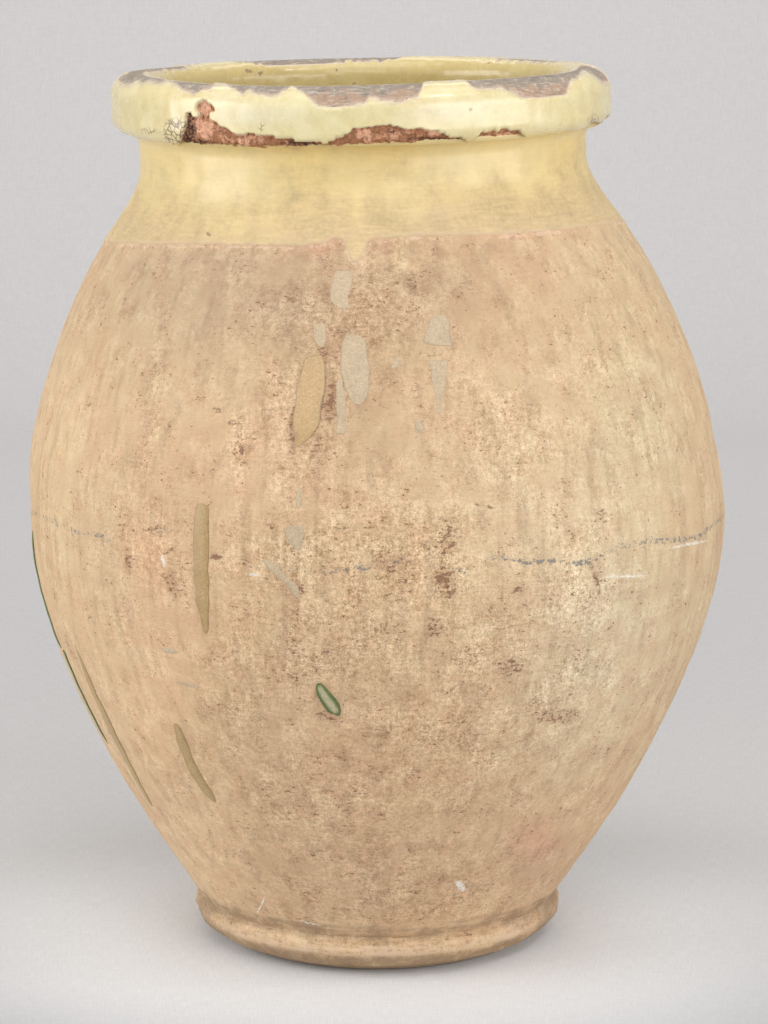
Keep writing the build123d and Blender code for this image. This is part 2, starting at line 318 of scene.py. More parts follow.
# Broad differences of colour: x, y, half width, half height, turn, then how many
# powers of two the brightness, the red and the blue rise at the middle
TINT_STAINS = [
    (250, 300, 170, 60, -8, -0.20, 0.0, 0.03), (380, 300, 120, 90, 0, -0.14, 0.02, 0.0),
    (400, 700, 120, 160, 0, 0.04, 0.04, 0.0), (440, 880, 160, 50, 0, -0.05, 0.02, 0.0),
    (540, 860, 40, 40, 0, -0.16, 0.0, 0.04), (378, 290, 320, 70, 0, -0.10, 0.0, 0.0),
    (215, 850, 40, 50, 0, 0.20, -0.02, 0.02), (150, 280, 50, 40, -20, -0.12, 0.0, 0.0),
    (345, 390, 60, 70, 0, -0.20, 0.02, -0.02), (60, 470, 30, 130, 4, 0.12, -0.03, -0.03),
    (80, 620, 34, 90, -14, 0.14, -0.02, 0.0), (160, 680, 50, 80, -14, 0.24, 0.02, 0.0),
    (130, 740, 34, 60, -24, 0.12, 0.0, 0.0), (152, 550, 24, 44, 0, 0.0, 0.10, -0.02),
    (240, 600, 60, 160, 0, 0.0, 0.05, -0.02), (560, 560, 110, 130, 0, 0.15, -0.07, 0.06),
    (640, 420, 60, 180, -4, 0.03, -0.10, 0.02), (600, 660, 70, 100, 16, 0.17, -0.13, 0.09),
    (538, 842, 24, 20, 0, -0.06, 0.20, 0.08), (400, 900, 150, 40, 0, -0.12, 0.02, 0.0),
    (330, 760, 50, 120, 0, 0.0, 0.04, 0.0), (440, 560, 70, 60, 0, 0.04, -0.02, -0.02),
    (300, 250, 30, 12, 0, -0.05, 0.05, 0.03), (326, 246, 20, 7, -10, -0.06, 0.16, 0.10),
    (528, 232, 32, 6, 0, 0.02, 0.12, 0.07), (200, 262, 100, 12, 0, -0.02, -0.02, 0.06),
    (380, 247, 14, 8, 0, 0.0, 0.10, 0.06), (364, 262, 10, 10, 0, 0.10, 0.04, 0.08),
    (231, 285, 4, 28, 2, 0.16, 0.0, 0.0), (215, 300, 14, 60, 14, -0.12, 0.0, 0.02),
    (180, 822, 30, 26, 0, 0.10, 0.0, 0.03), (265, 905, 14, 12, 0, 0.08, 0.0, 0.04),
    (320, 440, 90, 50, 0, -0.06, 0.03, 0.02), (460, 290, 60, 40, 0, -0.10, 0.03, 0.02),
]
# Where dark specks crowd
SPECK_STAINS = [
    (570, 590, 50, 90, 0, 0.55), (350, 320, 80, 60, 0, 0.6), (500, 440, 60, 60, 0, 0.45),
    (390, 560, 90, 70, 0, 0.75), (340, 640, 100, 70, 0, 0.7), (480, 640, 70, 60, 0, 0.65),
    (240, 440, 10, 36, 0, 0.9), (300, 430, 50, 60, 0, 0.55), (370, 300, 60, 50, 0, 0.5),
    (300, 560, 80, 40, 0, 0.75), (430, 740, 120, 70, 0, 0.6), (330, 800, 110, 80, 0, 0.5),
    (400, 890, 140, 50, 0, 0.5), (150, 545, 40, 60, 0, 0.5), (150, 420, 12, 90, 6, 0.45),
    (560, 680, 60, 60, 0, 0.5), (445, 570, 26, 70, 0, 0.9), (600, 420, 70, 120, 0, 0.25),
    (240, 680, 40, 90, 0, 0.45), (340, 380, 14, 50, 0, 0.9), (290, 470, 20, 60, 0, 0.6),
]
# Where a thin veil of glaze has run down below the hem
VEILS = [(402, 252, 7, 15, 0, 1.0), (357, 246, 11, 12, 0, 0.8)]


def blotches(x, y, facing, stains):
    """Each stain fades out as a bell curve of the distance from its middle, measured in
    half widths and half heights. The strongest stain counts at each point."""
    total = np.zeros_like(x)
    for middle_x, middle_y, half_width, half_height, turn, strength in stains:
        angle = math.radians(turn)
        across = (x - middle_x) * math.cos(angle) + (y - middle_y) * math.sin(angle)
        along = (y - middle_y) * math.cos(angle) - (x - middle_x) * math.sin(angle)
        bell = np.exp(-((across / half_width) ** 2 + (along / half_height) ** 2))
        total = np.maximum(total, strength * bell)
    return total * facing


def photo_place(points, azimuth):
    """Where the photograph shows each point, in pixels, as a vector for the shaders.
    The far side of the jar gets a place far outside the picture."""
    x, y = project(points)
    seen = np.cos(azimuth) > -0.12
    return np.stack([np.where(seen, x, UNSEEN), np.where(seen, y, UNSEEN), np.zeros_like(x)], -1)


def tints(x, y, facing):
    """Red, green and blue factors: two to the sum of the broad stains, each a bell curve."""
    light, red, blue = (np.zeros_like(x) for _ in range(3))
    for *stain, brighter, redder, bluer in TINT_STAINS:
        bell = blotches(x, y, facing, [(*stain, 1.0)])
        light, red, blue = light + brighter * bell, red + redder * bell, blue + bluer * bell
    return 2 ** np.stack([light + red, light, light + blue], -1)


def far_tints(azimuth, height, away):
    """The same kind of factors for the far side, from smooth noise: darker and lighter,
    redder and yellower places."""
    light = (0.13 * waves(azimuth, height, 0.2, 22) + 0.08 * waves(azimuth, height, 0.08, 23)) * away
    red = 0.06 * waves(azimuth, height, 0.16, 24) * away
    blue = 0.03 * waves(azimuth, height, 0.22, 26) * away
    return 2 ** np.stack([light + red, light, light + blue], -1)


# How densely specks crowd on the foot
FOOT_SPECKS = 0.35


def clay_marks(azimuth, height, points):
    """The attributes of bare clay: the photograph's stains in front, and for the rest of
    the jar stains of the same kinds from smooth noise. The foot is darker in its crease,
    on its lower half and on its bevel, as painted shade with some dirt, and is dirty at
    both ends of its front; it has a cream stripe."""
    x, y = project(points)
    facing = front_share(azimuth, -0.02, 0.12)
    away = 1 - facing
    marks = {
        "rust": blotches(x, y, facing, RUST_STAINS),
        "specks": blotches(x, y, facing, SPECK_STAINS),
        "veil": blotches(x, y, facing, VEILS),
    }
    marks["rust"] += away * 0.7 * smooth_step(waves(azimuth, height, 0.07, 21), 1.2, 2.3)
    marks["specks"] += away * 0.7 * smooth_step(waves(azimuth, height, 0.13, 25), 0.0, 1.6)
    foot = height < CREASE[1] + 1 * MM
    marks["specks"] = marks["specks"] * (1 - foot) + FOOT_SPECKS * foot
    marks["foot"] = foot * 1.0
    # Painted shade with some dirt: the foot darker in its crease and on its lower half and bevel, which
    # face down
    crease = np.exp(-((height - CREASE[1] - 3 * MM) / (7 * MM)) ** 2)
    low_half = 1 - smooth_step(height, 15 * MM, 25 * MM)
    bevel = 1 - smooth_step(height, 6 * MM, 9 * MM)
    ends = facing * (smooth_step(x, 520, 550) + 1 - smooth_step(x, 205, 245))
    marks["grime_and_shade"] = 0.5 * crease + 0.62 * low_half + 0.66 * bevel + 0.4 * ends * (height < CREASE[1])
    stripe = smooth_step(height, 18 * MM, 21 * MM) * (1 - smooth_step(height, 25 * MM, 29 * MM))
    marks["cream"] = stripe * (1 - 0.9 * ends)
    marks["hem"] = height - hem_height(azimuth)
    marks = {label: np.broadcast_to(values, azimuth.shape) for label, values in marks.items()}
    marks["photo"] = photo_place(points, azimuth)
    marks["tint"] = tints(x, y, facing) * far_tints(azimuth, height, away)
    return marks


# The hem of the yellow coat in front: azimuth in degrees and rise above the joint in
# millimetres, with the run that came down left of the middle
HEM_FRONT = [
    (-90, 209), (-69, 215), (-54, 218.5), (-38, 221.5), (-25, 222.5), (-14, 222), (-9, 224),
    (-6.2, 227), (-4.6, 226), (-3.6, 220), (-2.4, 211.5), (-1.4, 211), (-0.4, 217), (0.8, 224),
    (2, 226.5), (6, 226), (12, 226.5), (21, 225), (31, 223.5), (38, 222.5), (47, 222),
    (59, 220), (75, 217.5), (90, 214),
]
# Runs below the hem at the back: azimuth and half width in degrees, drop in millimetres
BACK_RUNS = [(128, 4, 16), (139, 2.5, 7), (-151, 3, 24), (-163, 5, 8), (172, 2, 11), (-118, 3, 6)]


def hem_height(azimuth):
    """The hem's height round the jar: the photograph's line in front, joined to a plane
    that slopes down to the back, with a small waver."""
    turn = np.degrees(azimuth)
    front = looked_up(turn, HEM_FRONT) * MM
    plane = (206 + 15 * np.cos(azimuth)) * MM
    runs = sum(drop * np.exp(-((turn - at) / half) ** 4) for at, half, drop in BACK_RUNS) * MM
    back = plane - runs + 1.2 * MM * waves(azimuth, 0.0, 0.06, 31)
    share = smooth_step(np.abs(turn), 80, 100)
    waver = 0.35 * MM * waves(azimuth, 0.0, 0.009, 32)
    return JOINT + front * (1 - share) + back * share + waver


def extended(marks, before, after):
    """The same attributes with empty rows added before and after."""
    def padded(values):
        """One attribute with its rows of zeros."""
        row = np.zeros((1, *values.shape[1:]))
        return np.concatenate([np.repeat(row, before, 0), values, np.repeat(row, after, 0)])
    return {label: padded(values) for label, values in marks.items()}


def rings(places, azimuth):
    """Plain rows of points all round, for a list of radius and height."""
    return np.stack([seat(azimuth, radius, height) for radius, height in places])


def wall_grid(heights, before, inside):
    """Rows of a thrown wall: rows before it, its outside from the bottom up, and its
    inside from the top down. The inside carries the mark of its glaze."""
    azimuth = columns()
    around, height = np.meshgrid(azimuth, heights)
    outer = clay_surface(around, height)
    marks = extended(clay_marks(around, height, outer), len(before), len(inside))
    glazed = np.zeros((len(before) + len(heights) + len(inside), COLUMNS))
    glazed[len(before) + len(heights):] = 1
    marks["inside"] = glazed
    parts = [rings(before, azimuth)] if before else []
    return np.concatenate([*parts, outer, rings(inside, azimuth)]), marks


def inner_rows(low, high, rows):
    """Radius and height of the inside of a wall, from high to low, a wall inside."""
    return [(float(outline(z)) - WALL, z) for z in np.linspace(high, low, rows)]


def lower_wall(clay):
    """The lower half: flat underside, belly, and the hollow with its rounded floor."""
    top = JOINT - SLIP / 2
    heights = np.concatenate([np.linspace(CREASE[1], top - EDGE, 92), [top]])
    under = [(20 * MM, 0.4 * MM), (60 * MM, 0.4 * MM), (FOOT_FLAT - 1 * MM, 0.4 * MM),
             (FOOT_FLAT + 10 * MM, 10 * MM), (CREASE[0] - 8 * MM, CREASE[1] - 6 * MM)]
    floor = [(FLOOR_RADIUS + 8 * MM, 31 * MM), (FLOOR_RADIUS - 6 * MM, FLOOR_TOP + 2 * MM),
             (70 * MM, FLOOR_TOP), (20 * MM, FLOOR_TOP - 0.5 * MM)]
    points, marks = wall_grid(heights, under, inner_rows(44 * MM, top, 12) + floor)
    turning = len(under) + len(heights) - 1
    piece = woven("lower_wall_clay", points, False, marks, [turning])
    return settle(piece, clay, "terracotta", "lower_wall")


def joint_slip(clay):
    """The band of slip at the belly, which continues both walls."""
    low, high = JOINT - SLIP / 2, JOINT + SLIP / 2
    heights = [low, low + EDGE, JOINT, high - EDGE, high]
    points, marks = wall_grid(heights, [], inner_rows(low, high, 2))
    piece = woven("joint_slip_band", points, True, marks, [len(heights) - 1, len(heights) + 1])
    return settle(piece, clay, "joint_slip", "belly_joint_slip")


def upper_wall(clay):
    """The upper half: shoulder and neck, open at both ends."""
    low = JOINT + SLIP / 2
    heights = np.concatenate([[low], np.linspace(low + EDGE, ROOT, 92)])
    points, marks = wall_grid(heights, [], inner_rows(low, ROOT, 14))
    piece = woven("upper_wall_clay", points, True, marks, [len(heights) - 1, len(heights) + 13])
    return settle(piece, clay, "terracotta", "upper_wall")


# The foot's outline, radius and height in millimetres, from its bed over the bevel
# and the bulge into the crease
FOOT_OUTLINE = [
    (103, 1.5), (105, 0.1), (110, 0.15), (115, 1.2), (121, 3.6), (127.5, 6.8), (133, 9.8),
    (136.8, 13.6), (139.8, 17), (141.1, 20.3), (141.2, 23.6), (140.3, 27), (138.9, 30),
    (138.2, 32.4), (138.6, 34.4), (136, 35), (130, 26),
]
# A gouge in its edge, as a stain in the photograph
FOOT_GOUGE = [(530, 916, 16, 12, -30, 1.0)]


def softened(values):
    """Each value moved towards its neighbours by a quarter of each, but not the ends."""
    mild = (np.roll(values, 1) + 2 * values + np.roll(values, -1)) / 4
    return np.concatenate([values[:2], mild[2:-2], values[-2:]])


def foot_roll(clay):
    """The coil round the foot: a bevel, a bulge and a crease, with a worn, wavy edge."""
    count = len(FOOT_OUTLINE)
    steps = np.linspace(0, count - 1, 4 * count - 3)
    radius, height = (softened(np.interp(steps, range(count), values) * MM)
                      for values in zip(*FOOT_OUTLINE))
    around, tall = np.meshgrid(columns(), height)
    wide = np.repeat(radius[:, None], COLUMNS, axis=1)
    edge = smooth_step(tall, 3 * MM, 12 * MM)
    worn = edge * (0.6 * waves(around, tall, 0.05, 41) + 0.4 * waves(around, tall, 0.012, 42)) * MM
    x, y = project(seat(around, wide, tall))
    gouge = blotches(x, y, front_share(around, -0.02), FOOT_GOUGE)
    ragged = waves(around, tall * 0.6, 0.03, 43)
    fine = 0.4 * waves(around, tall, 0.008, 44)
    chips = edge * 1.6 * MM * smooth_step(ragged + 2.5 * gouge + fine, 1.5, 2.1)
    wide = wide + worn - chips - 0.6 * MM
    points = seat(around, wide, tall)
    marks = clay_marks(around, tall, points)
    marks["chips"] = chips / MM
    return settle(woven("foot_roll_clay", points, True, marks), clay, "terracotta", "foot_roll")


# Drips of glaze in front, by their middle line in the photograph: x, y and half width
# in pixels. Those at the left edge are given by azimuth in degrees, height and half
# width in millimetres instead.
OCHRE_PATHS = [
    [(313, 355.5, 0), (313.5, 358, 9), (314, 367, 10.5), (312.5, 378, 12), (309.5, 394, 12.5),
     (307.5, 408, 11.8), (306, 420, 11.5), (302, 434, 8), (298.5, 443, 4), (297, 448, 0)],
    [(201.5, 503, 0), (201.5, 508, 6.4), (201, 520, 7.6), (200.5, 545, 8), (200.5, 580, 7.8),
     (202, 600, 6.8), (204, 618, 4.8), (205, 628, 3.4), (205.5, 635, 0)],
    [(174.5, 723, 0), (177, 730, 4.6), (182, 745, 6), (189, 763, 6.4), (197, 778, 6.6),
     (206, 791, 6), (212, 799, 4), (215, 803, 0)],
]
OCHRE_EDGE_PATHS = [
    [(-62.6, 251, 0), (-62.0, 243, 1.6), (-61.2, 218, 4.4), (-60.6, 195, 6.4), (-60.3, 165, 5.6),
     (-60.0, 142, 5), (-60.0, 126, 3.4), (-60.0, 121, 0)],
]
GREEN_PATHS = [
    [(318, 683, 0), (319.5, 687, 4), (323, 694, 6), (328, 701, 7), (333, 708, 6.6), (337, 713, 4),
     (338, 716, 0)],
]
GREEN_EDGE_PATHS = [
    [(-79.5, 322, 0), (-79.5, 312, 2.6), (-79, 286, 3), (-77, 262, 2.8), (-74.5, 240, 3),
     (-73.5, 236, 0)],
    [(-72.2, 237, 0), (-71.8, 233, 3.6), (-70.6, 215, 4), (-69.8, 190, 3.4), (-69.2, 172, 2.4),
     (-69, 164, 0)],
]
CLEAR_PATHS = [
    [(344.5, 270.5, 0), (344.5, 272, 8.5), (342.5, 280, 9), (340, 290, 9), (339.5, 297, 8.6),
     (342.5, 303, 5.4), (347.5, 308, 0)],
    [(355, 334.5, 0), (354.5, 338, 8.5), (354, 345, 11.5), (354, 360, 13), (355.5, 375, 12.5),
     (357.5, 390, 10), (357, 400, 6.4), (356, 405, 0)],
    [(440, 314.5, 0), (440.5, 317, 5.6), (440.5, 322, 8.8), (439, 330, 10.6), (438.5, 338, 11.6),
     (437.8, 344.5, 12.4), (437.8, 345.8, 0)],
    [(438.5, 359.8, 0), (438.5, 361, 10.6), (439.2, 370, 8.8), (439, 384, 5.2), (439.2, 394, 3.2),
     (439.6, 404, 2), (440, 410, 2.4), (440, 415, 0)],
    [(339, 379, 0), (339.5, 384, 3), (340.5, 400, 4.2), (341.5, 420, 4.6), (340.5, 433, 4),
     (340.5, 434.5, 0)],
    [(399.5, 357, 0), (398, 361, 2.8), (395, 365, 3), (392, 369, 0)],
    [(418, 421, 0), (418.5, 424, 3.2), (420, 428, 3.6), (422, 433, 0)],
    [(300, 488, 0), (299, 493, 2.4), (298.5, 502, 3), (298, 509, 0)],
    [(293, 525, 0), (293.5, 526.5, 8), (294.5, 536, 8), (297, 546, 5), (298.5, 551, 0)],
    [(262.5, 559.5, 0), (267, 564, 3), (273, 569, 3.8), (281, 576, 3), (287, 581, 3.6),
     (293, 588, 5), (298, 598, 0)],
    [(161, 648, 0), (165, 650.5, 2.6), (171, 651, 2.6), (178.5, 652.5, 0)],
    [(175, 682, 0), (183, 684, 2), (190, 685.5, 1.8), (197, 688, 0)],
    [(154, 532, 0), (158, 530.5, 1.6), (163, 530, 0)],
    [(319, 323, 0), (319.5, 326, 5), (319.5, 335, 6), (321, 342, 5), (322, 347, 0)],
]


# The jar in the photograph, in pixels: its axis, its half width and its foot
AXIS_X, HALF_WIDTH, FOOT_Y = 378, 355, 965
# How many steps jar_place takes, and how small the moves are that give its slopes
PLACE_STEPS = 30
SMALL = 1e-4


def jar_place(x, y):
    """Azimuth and height where the camera sees a pixel on the jar's outside. Each step
    solves for the move that closes the gap in the picture, from the slopes of project()
    that small moves give."""
    azimuth = np.arcsin(np.clip((x - AXIS_X) / HALF_WIDTH, -0.9, 0.9))
    height = np.clip((FOOT_Y - y) * PIXEL, 50 * MM, 600 * MM)
    for _ in range(PLACE_STEPS):
        at_x, at_y = project(seat(azimuth, outline(height), height))
        turn_x, turn_y = project(seat(azimuth + SMALL, outline(height), height))
        rise_x, rise_y = project(seat(azimuth, outline(height + SMALL), height + SMALL))
        x_turn, y_turn = (turn_x - at_x) / SMALL, (turn_y - at_y) / SMALL
        x_rise, y_rise = (rise_x - at_x) / SMALL, (rise_y - at_y) / SMALL
        off_x, off_y = x - at_x, y - at_y
        scale = x_turn * y_rise - x_rise * y_turn
        azimuth = azimuth + np.clip((off_x * y_rise - off_y * x_rise) / scale, -0.2, 0.2)
        height = height + np.clip((off_y * x_turn - off_x * y_turn) / scale, -40 * MM, 40 * MM)
        azimuth, height = np.clip(azimuth, -1.45, 1.45), np.clip(height, 36 * MM, 600 * MM)
    return azimuth, height


# A drip's grid: length of a row, fewest and most rows, and points round it
DRIP_ROW, DRIP_FEWEST, DRIP_MOST, DRIP_ROUND = 1.2 * MM, 26, 150, 30
DRIP_SINK = 0.5 * MM


def drip_grid(azimuth, height, half_width, thick, seed):
    """A drip as a closed skin round its middle line: across it the lift is a half
    ellipse above the clay, and below it a shallow one sunk in the clay. Rows lie closer
    together towards both ends, which close. Squared half widths run straight between
    the points, so ends are round. Also how near each point is to the drip's outline."""
    radius = float(outline(height.mean()))
    line = np.stack([azimuth * radius, height])
    length = np.concatenate([[0], np.cumsum(np.hypot(*np.diff(line, axis=1)))])
    count = int(np.clip(length[-1] / DRIP_ROW, DRIP_FEWEST, DRIP_MOST))
    share = (1 - np.cos(np.linspace(0.02, math.pi - 0.02, count))) / 2 * length[-1]
    smooth = np.linspace(-1, 1, 5)[:, None] * length[-1] * 0.02 + share
    x, y = (np.interp(smooth, length, v).mean(0) for v in line)
    wide = np.sqrt(np.interp(share, length, half_width**2))
    wide = wide * (1 + 0.1 * waves(share / WAVE_RADIUS, 0.0, 0.02, seed))
    run_x, run_y = np.gradient(x), np.gradient(y)
    pace = np.hypot(run_x, run_y)
    turn = np.linspace(0, 2 * math.pi, DRIP_ROUND, endpoint=False)
    across, lift = np.cos(turn), np.sin(turn)
    place_x = x[:, None] - (run_y / pace * wide)[:, None] * across
    place_y = y[:, None] + (run_x / pace * wide)[:, None] * across
    body = np.minimum(wide / wide.max() * 1.3, 1)[:, None]
    above = np.where(lift > 0, thick * np.abs(lift) ** 0.7, -DRIP_SINK * np.abs(lift)) * body
    points = clay_surface(place_x / radius, place_y, above)
    ends = np.minimum(share, length[-1] - share) / wide.max()
    return points, np.maximum(np.abs(across), 1 - np.clip(ends, 0, 1)[:, None])


# The first seeds for the widths of drips, those in the picture and those at its edge
PATH_SEED, EDGE_PATH_SEED = 80, 90


def drips(name, slot, node, finish, thick, paths, edge_paths=()):
    """One object of all drips of a kind: a closed skin along each path, six steps for
    each of its points, with the squared half widths and the places run straight."""
    grids = []
    for seed, path in enumerate(paths):
        x, y, wide = np.array(path, float).T
        steps = np.linspace(0, len(path) - 1, 6 * len(path))
        x, y, squared = (np.interp(steps, range(len(path)), values) for values in (x, y, wide**2))
        grids.append(drip_grid(*jar_place(x, y), np.sqrt(squared) * PIXEL, thick, PATH_SEED + seed))
    for seed, path in enumerate(edge_paths):
        turn, height, wide = np.array(path, float).T
        grids.append(drip_grid(np.radians(turn), height * MM, wide * MM, thick, EDGE_PATH_SEED + seed))
    points, quads, triangles, edges = [], [], [], []
    first = 0
    for grid, edge in grids:
        square, fan = grid_faces(*grid.shape[:2], False, first)
        flat = np.vstack([grid.reshape(-1, 3), grid[0].mean(0), grid[-1].mean(0)])
        points.append(flat)
        quads.append(square)
        triangles.append(fan)
        edges.append(np.concatenate([edge.ravel(), [1, 1]]))
        first += len(flat)
    marks = {"edge": np.concatenate(edges)}
    piece = mesh_piece(name, np.vstack(points), np.vstack(quads), np.vstack(triangles), marks)
    return settle(piece, finish, slot, node)


# The upper line of the bitten clay along the rim's lower edge, in photograph pixels
CHIP_LINE = [
    (100, 170), (179, 160), (181, 141), (183, 133), (186, 124), (187, 114), (191, 113), (193, 117),
    (200, 118), (212, 120), (217, 122), (219, 126), (228, 129), (233, 134), (240, 136.5),
    (247, 134), (262, 135), (275, 138), (290, 139), (296, 142), (318, 143.5), (326, 144.5),
    (332, 142), (342, 137), (350, 133), (352, 129), (370, 127), (378, 126), (390, 125), (397, 127),
    (404, 130), (420, 129), (433, 131), (442, 134), (450, 137), (464, 139), (468, 143), (474, 141),
    (480, 133), (500, 131), (512, 130), (519, 132), (523, 136), (530, 165), (584, 165), (588, 124),
    (594, 122), (600, 124), (604, 118), (608, 116), (612, 155), (700, 165),
]
# The flake above the main chip and its stem, as stains. Then where the broken clay is
# salmon, and where it is brown and cracked, darker too as painted shade of the recess
# along the bites' lower edges
FLAKES = [(204, 108.5, 9.4, 5.6, 0, 1.0), (203.5, 115, 5, 8, 0, 1.0), (204, 104, 4, 4, 0, 1.0)]
SALMON_FACES = [(205, 127, 13, 12, 20, 1.0), (203, 108, 8, 8, 0, 0.9), (370, 135, 30, 6, 0, 0.5),
                (240, 140, 30, 5, 4, 0.3), (500, 134, 20, 4, 0, 0.4)]
CRACKED_AND_SHADED = [(189, 128, 6, 16, 0, 1.5), (300, 143, 20, 3, 0, 1.0), (376, 131, 5, 4, 0, 0.6),
           (392, 132, 6, 4, 0, 0.7), (430, 139, 24, 3, 0, 0.8), (470, 139, 16, 4, 0, 1.0),
           (597, 122, 10, 5, 0, 1.5), (195, 142, 14, 3, 0, 1.0)]
# Where the glaze beside the bites is crazed
CRAZED = [(177, 131, 13, 13, 0, 1.0), (150, 131, 12, 4, 0, 0.6), (594, 120, 10, 8, 0, 0.5),
          (262, 127, 4, 8, 20, 0.5), (345, 135, 10, 4, 0, 0.3)]
# Where the rim's glaze is paler: painted highlights of the soft boxes
HIGHLIGHT_PLACES = [(262, 114, 44, 13, 0, 1.0), (452, 110, 44, 11, -3, 0.9), (225, 100, 20, 10, 0, 0.7)]
# The lower line of the worn crest in front, in photograph pixels
WORN_LINE = [
    (60, 60), (116, 76), (121, 84), (129, 86), (137, 81), (143, 84), (150, 81), (160, 84), (168, 81),
    (176, 84), (183, 91), (192, 94), (203, 91), (211, 88), (217, 83), (226, 84), (236, 90),
    (243, 94), (250, 90), (256, 93), (266, 96), (276, 95), (286, 90), (292, 86), (298, 90),
    (305, 93), (312, 101), (322, 107), (330, 109), (350, 106), (364, 103), (370, 98), (384, 100),
    (398, 102), (410, 100), (417, 97), (421, 90), (424, 82), (436, 79), (448, 77), (462, 78),
    (470, 84), (478, 88), (484, 90), (497, 88), (510, 91), (520, 97), (530, 100), (545, 107),
    (556, 106), (562, 103), (566, 97), (568, 88), (571, 80), (577, 78), (582, 72), (590, 74),
    (598, 80), (604, 84), (640, 70),
]


def below_line(x, y, line, most=3):
    """How many pixels a place lies below a line given by its corners, up to the most."""
    return np.clip(y - looked_up(x, line), -most, most)


def quarter(middle_r, middle_z, rounding, start, rows):
    """Radius and height on a quarter circle from a start angle, without its last point."""
    turn = np.linspace(start, start + math.pi / 2, rows, endpoint=False)
    return [(middle_r + rounding * math.cos(a), middle_z + rounding * math.sin(a)) for a in turn]


def rim_profile(rows):
    """Radius and height along the rim, from its lower edge over the crest to the bore,
    and the radius and height of a step of one outwards.

    The underside from near the neck, a quarter circle, the straight outer face, a
    quarter circle, a flat crest, a smaller quarter circle and the straight bore. Rows
    are the counts on the last five."""
    outer, inner, lip = RIM_OUTER_ROUNDING, RIM_INNER_ROUNDING, LIP_ROUNDING
    bottom = RIM_EDGE - 1.2 * MM
    face = [(r, bottom - 0.15 * (RIM_RADIUS - lip - r))
            for r in np.linspace(NECK + LIP_START, RIM_RADIUS - lip, 4, endpoint=False)]
    face += quarter(RIM_RADIUS - lip, bottom + lip, lip, -math.pi / 2, 8)
    face += [(RIM_RADIUS, z) for z in np.linspace(bottom + lip, CREST - outer, rows[0], endpoint=False)]
    over = quarter(RIM_RADIUS - outer, CREST - outer, outer, 0, rows[1])
    flat = [(r, CREST) for r in np.linspace(RIM_RADIUS - outer, BORE + inner, rows[2], endpoint=False)]
    into = quarter(BORE + inner, CREST - inner, inner, math.pi / 2, rows[3])
    bore = [(BORE, z) for z in np.linspace(CREST - inner, ROOT, rows[4])]
    radius, height = np.array(face + over + flat + into + bore).T
    run_r, run_z = np.gradient(radius), np.gradient(height)
    length = np.hypot(run_r, run_z)
    return radius, height, run_z / length, -run_r / length


def rim_grid(rows):
    """The rim's profile, its columns, and the azimuth, radius and height of each point."""
    profile = rim_profile(rows)
    azimuth = columns(RIM_COLUMNS, RIM_CROWDING)
    around, wide = np.meshgrid(azimuth, profile[0])
    return profile, azimuth, around, wide, np.repeat(profile[1][:, None], RIM_COLUMNS, axis=1)


# How far the depth of wear is followed on both sides of its outline, in pixels
WEAR_REACH = 8


def rim_masks(azimuth, radius, height):
    """Two masks of the rim, 1 where the glaze is gone: bites along the lower edge and
    wear on the crest. Each is a signed distance turned into an S-shaped step, from the
    photograph's lines in front and from noise at the back. The third result is the
    distance inside the worn crest, in pixels."""
    x, y = project(rim_place(azimuth, radius, height))
    facing = front_share(azimuth)
    ragged = 0.8 * waves(azimuth, height, 0.012, 51) + 0.5 * waves(azimuth, height, 0.005, 52)
    low_face = 1 - smooth_step(height, CREST - 5 * MM, CREST - 3 * MM)
    low_face = low_face * smooth_step(radius, RIM_RADIUS - 24 * MM, RIM_RADIUS - 20 * MM)
    flake = 5 * (blotches(x, y, facing, FLAKES) - 0.4)
    bite = np.maximum(below_line(x, y, CHIP_LINE), flake) + 0.7 * ragged
    above = RIM_EDGE - 4 * MM
    back = (waves(azimuth, 0.0, 0.045, 53) - 0.9) * 8 * MM - (height - above) + 1.2 * MM * ragged
    bites = facing * smooth_step(bite, -0.6, 0.6) + (1 - facing) * smooth_step(back, -0.6 * MM, 0.6 * MM)
    top = smooth_step(height, CREST - 15 * MM, CREST - 12 * MM)
    inner = BORE + (2 + 5 * facing) * MM
    outside = smooth_step(radius, inner, inner + 4 * MM)
    wear = 1.1 * ragged - below_line(x, y, WORN_LINE, WEAR_REACH)
    near = facing * smooth_step(wear, -0.6, 0.6)
    middle = RIM_RADIUS - 18 * MM
    band = 7.5 * MM * (waves(azimuth, 0.0, 0.09, 54) + 0.65) - np.abs(radius - middle) + 2 * MM * ragged
    far = (1 - facing) * smooth_step(band, -0.8 * MM, 0.8 * MM)
    crest = top * outside
    wear = (facing * wear + (1 - facing) * band / PIXEL) * crest - WEAR_REACH * (1 - crest)
    bites, worn = np.clip(bites * low_face, 0, 1), np.clip((near + far) * crest, 0, 1)
    return bites, worn, np.clip(wear, -WEAR_REACH, WEAR_REACH)


def rim_roll(clay):
    """The clay of the rim: bitten back below the chips, worn a little on the crest."""
    (_, _, out_r, out_z), azimuth, around, wide, tall = rim_grid((20, 16, 6, 8, 8))
    bites, worn, wear = rim_masks(around, wide, tall)
    rough = 0.5 * waves(around, tall, 0.008, 61) + 0.4 * waves(around, tall, 0.004, 62)
    sink = (bites * (2.3 + 1.1 * rough) + worn * (0.25 + 0.1 * rough)) * MM
    points = rim_place(around, wide - sink * out_r[:, None], tall - sink * out_z[:, None])
    x, y = project(points)
    facing = front_share(around)
    low = smooth_step(CREST - tall, 1 * MM, 9 * MM) * (1 - bites)
    root = rings([(BORE + 4 * MM, ROOT + ROOT_GAP), (NECK - 2 * MM, ROOT + ROOT_GAP),
                  (NECK + 6 * MM, RIM_EDGE - 2 * MM)], azimuth)
    points = np.concatenate([points, root])
    marks = {"bitten": bites, "face": blotches(x, y, facing, SALMON_FACES) + low,
             # Cracked brown, with painted shade along the bites' lower edges
             "cracked": blotches(x, y, facing, CRACKED_AND_SHADED), "wear": wear}
    marks = extended(marks, 0, len(root))
    return settle(woven("rim_roll_clay", points, True, marks), clay, "rim_clay", "rim_roll")


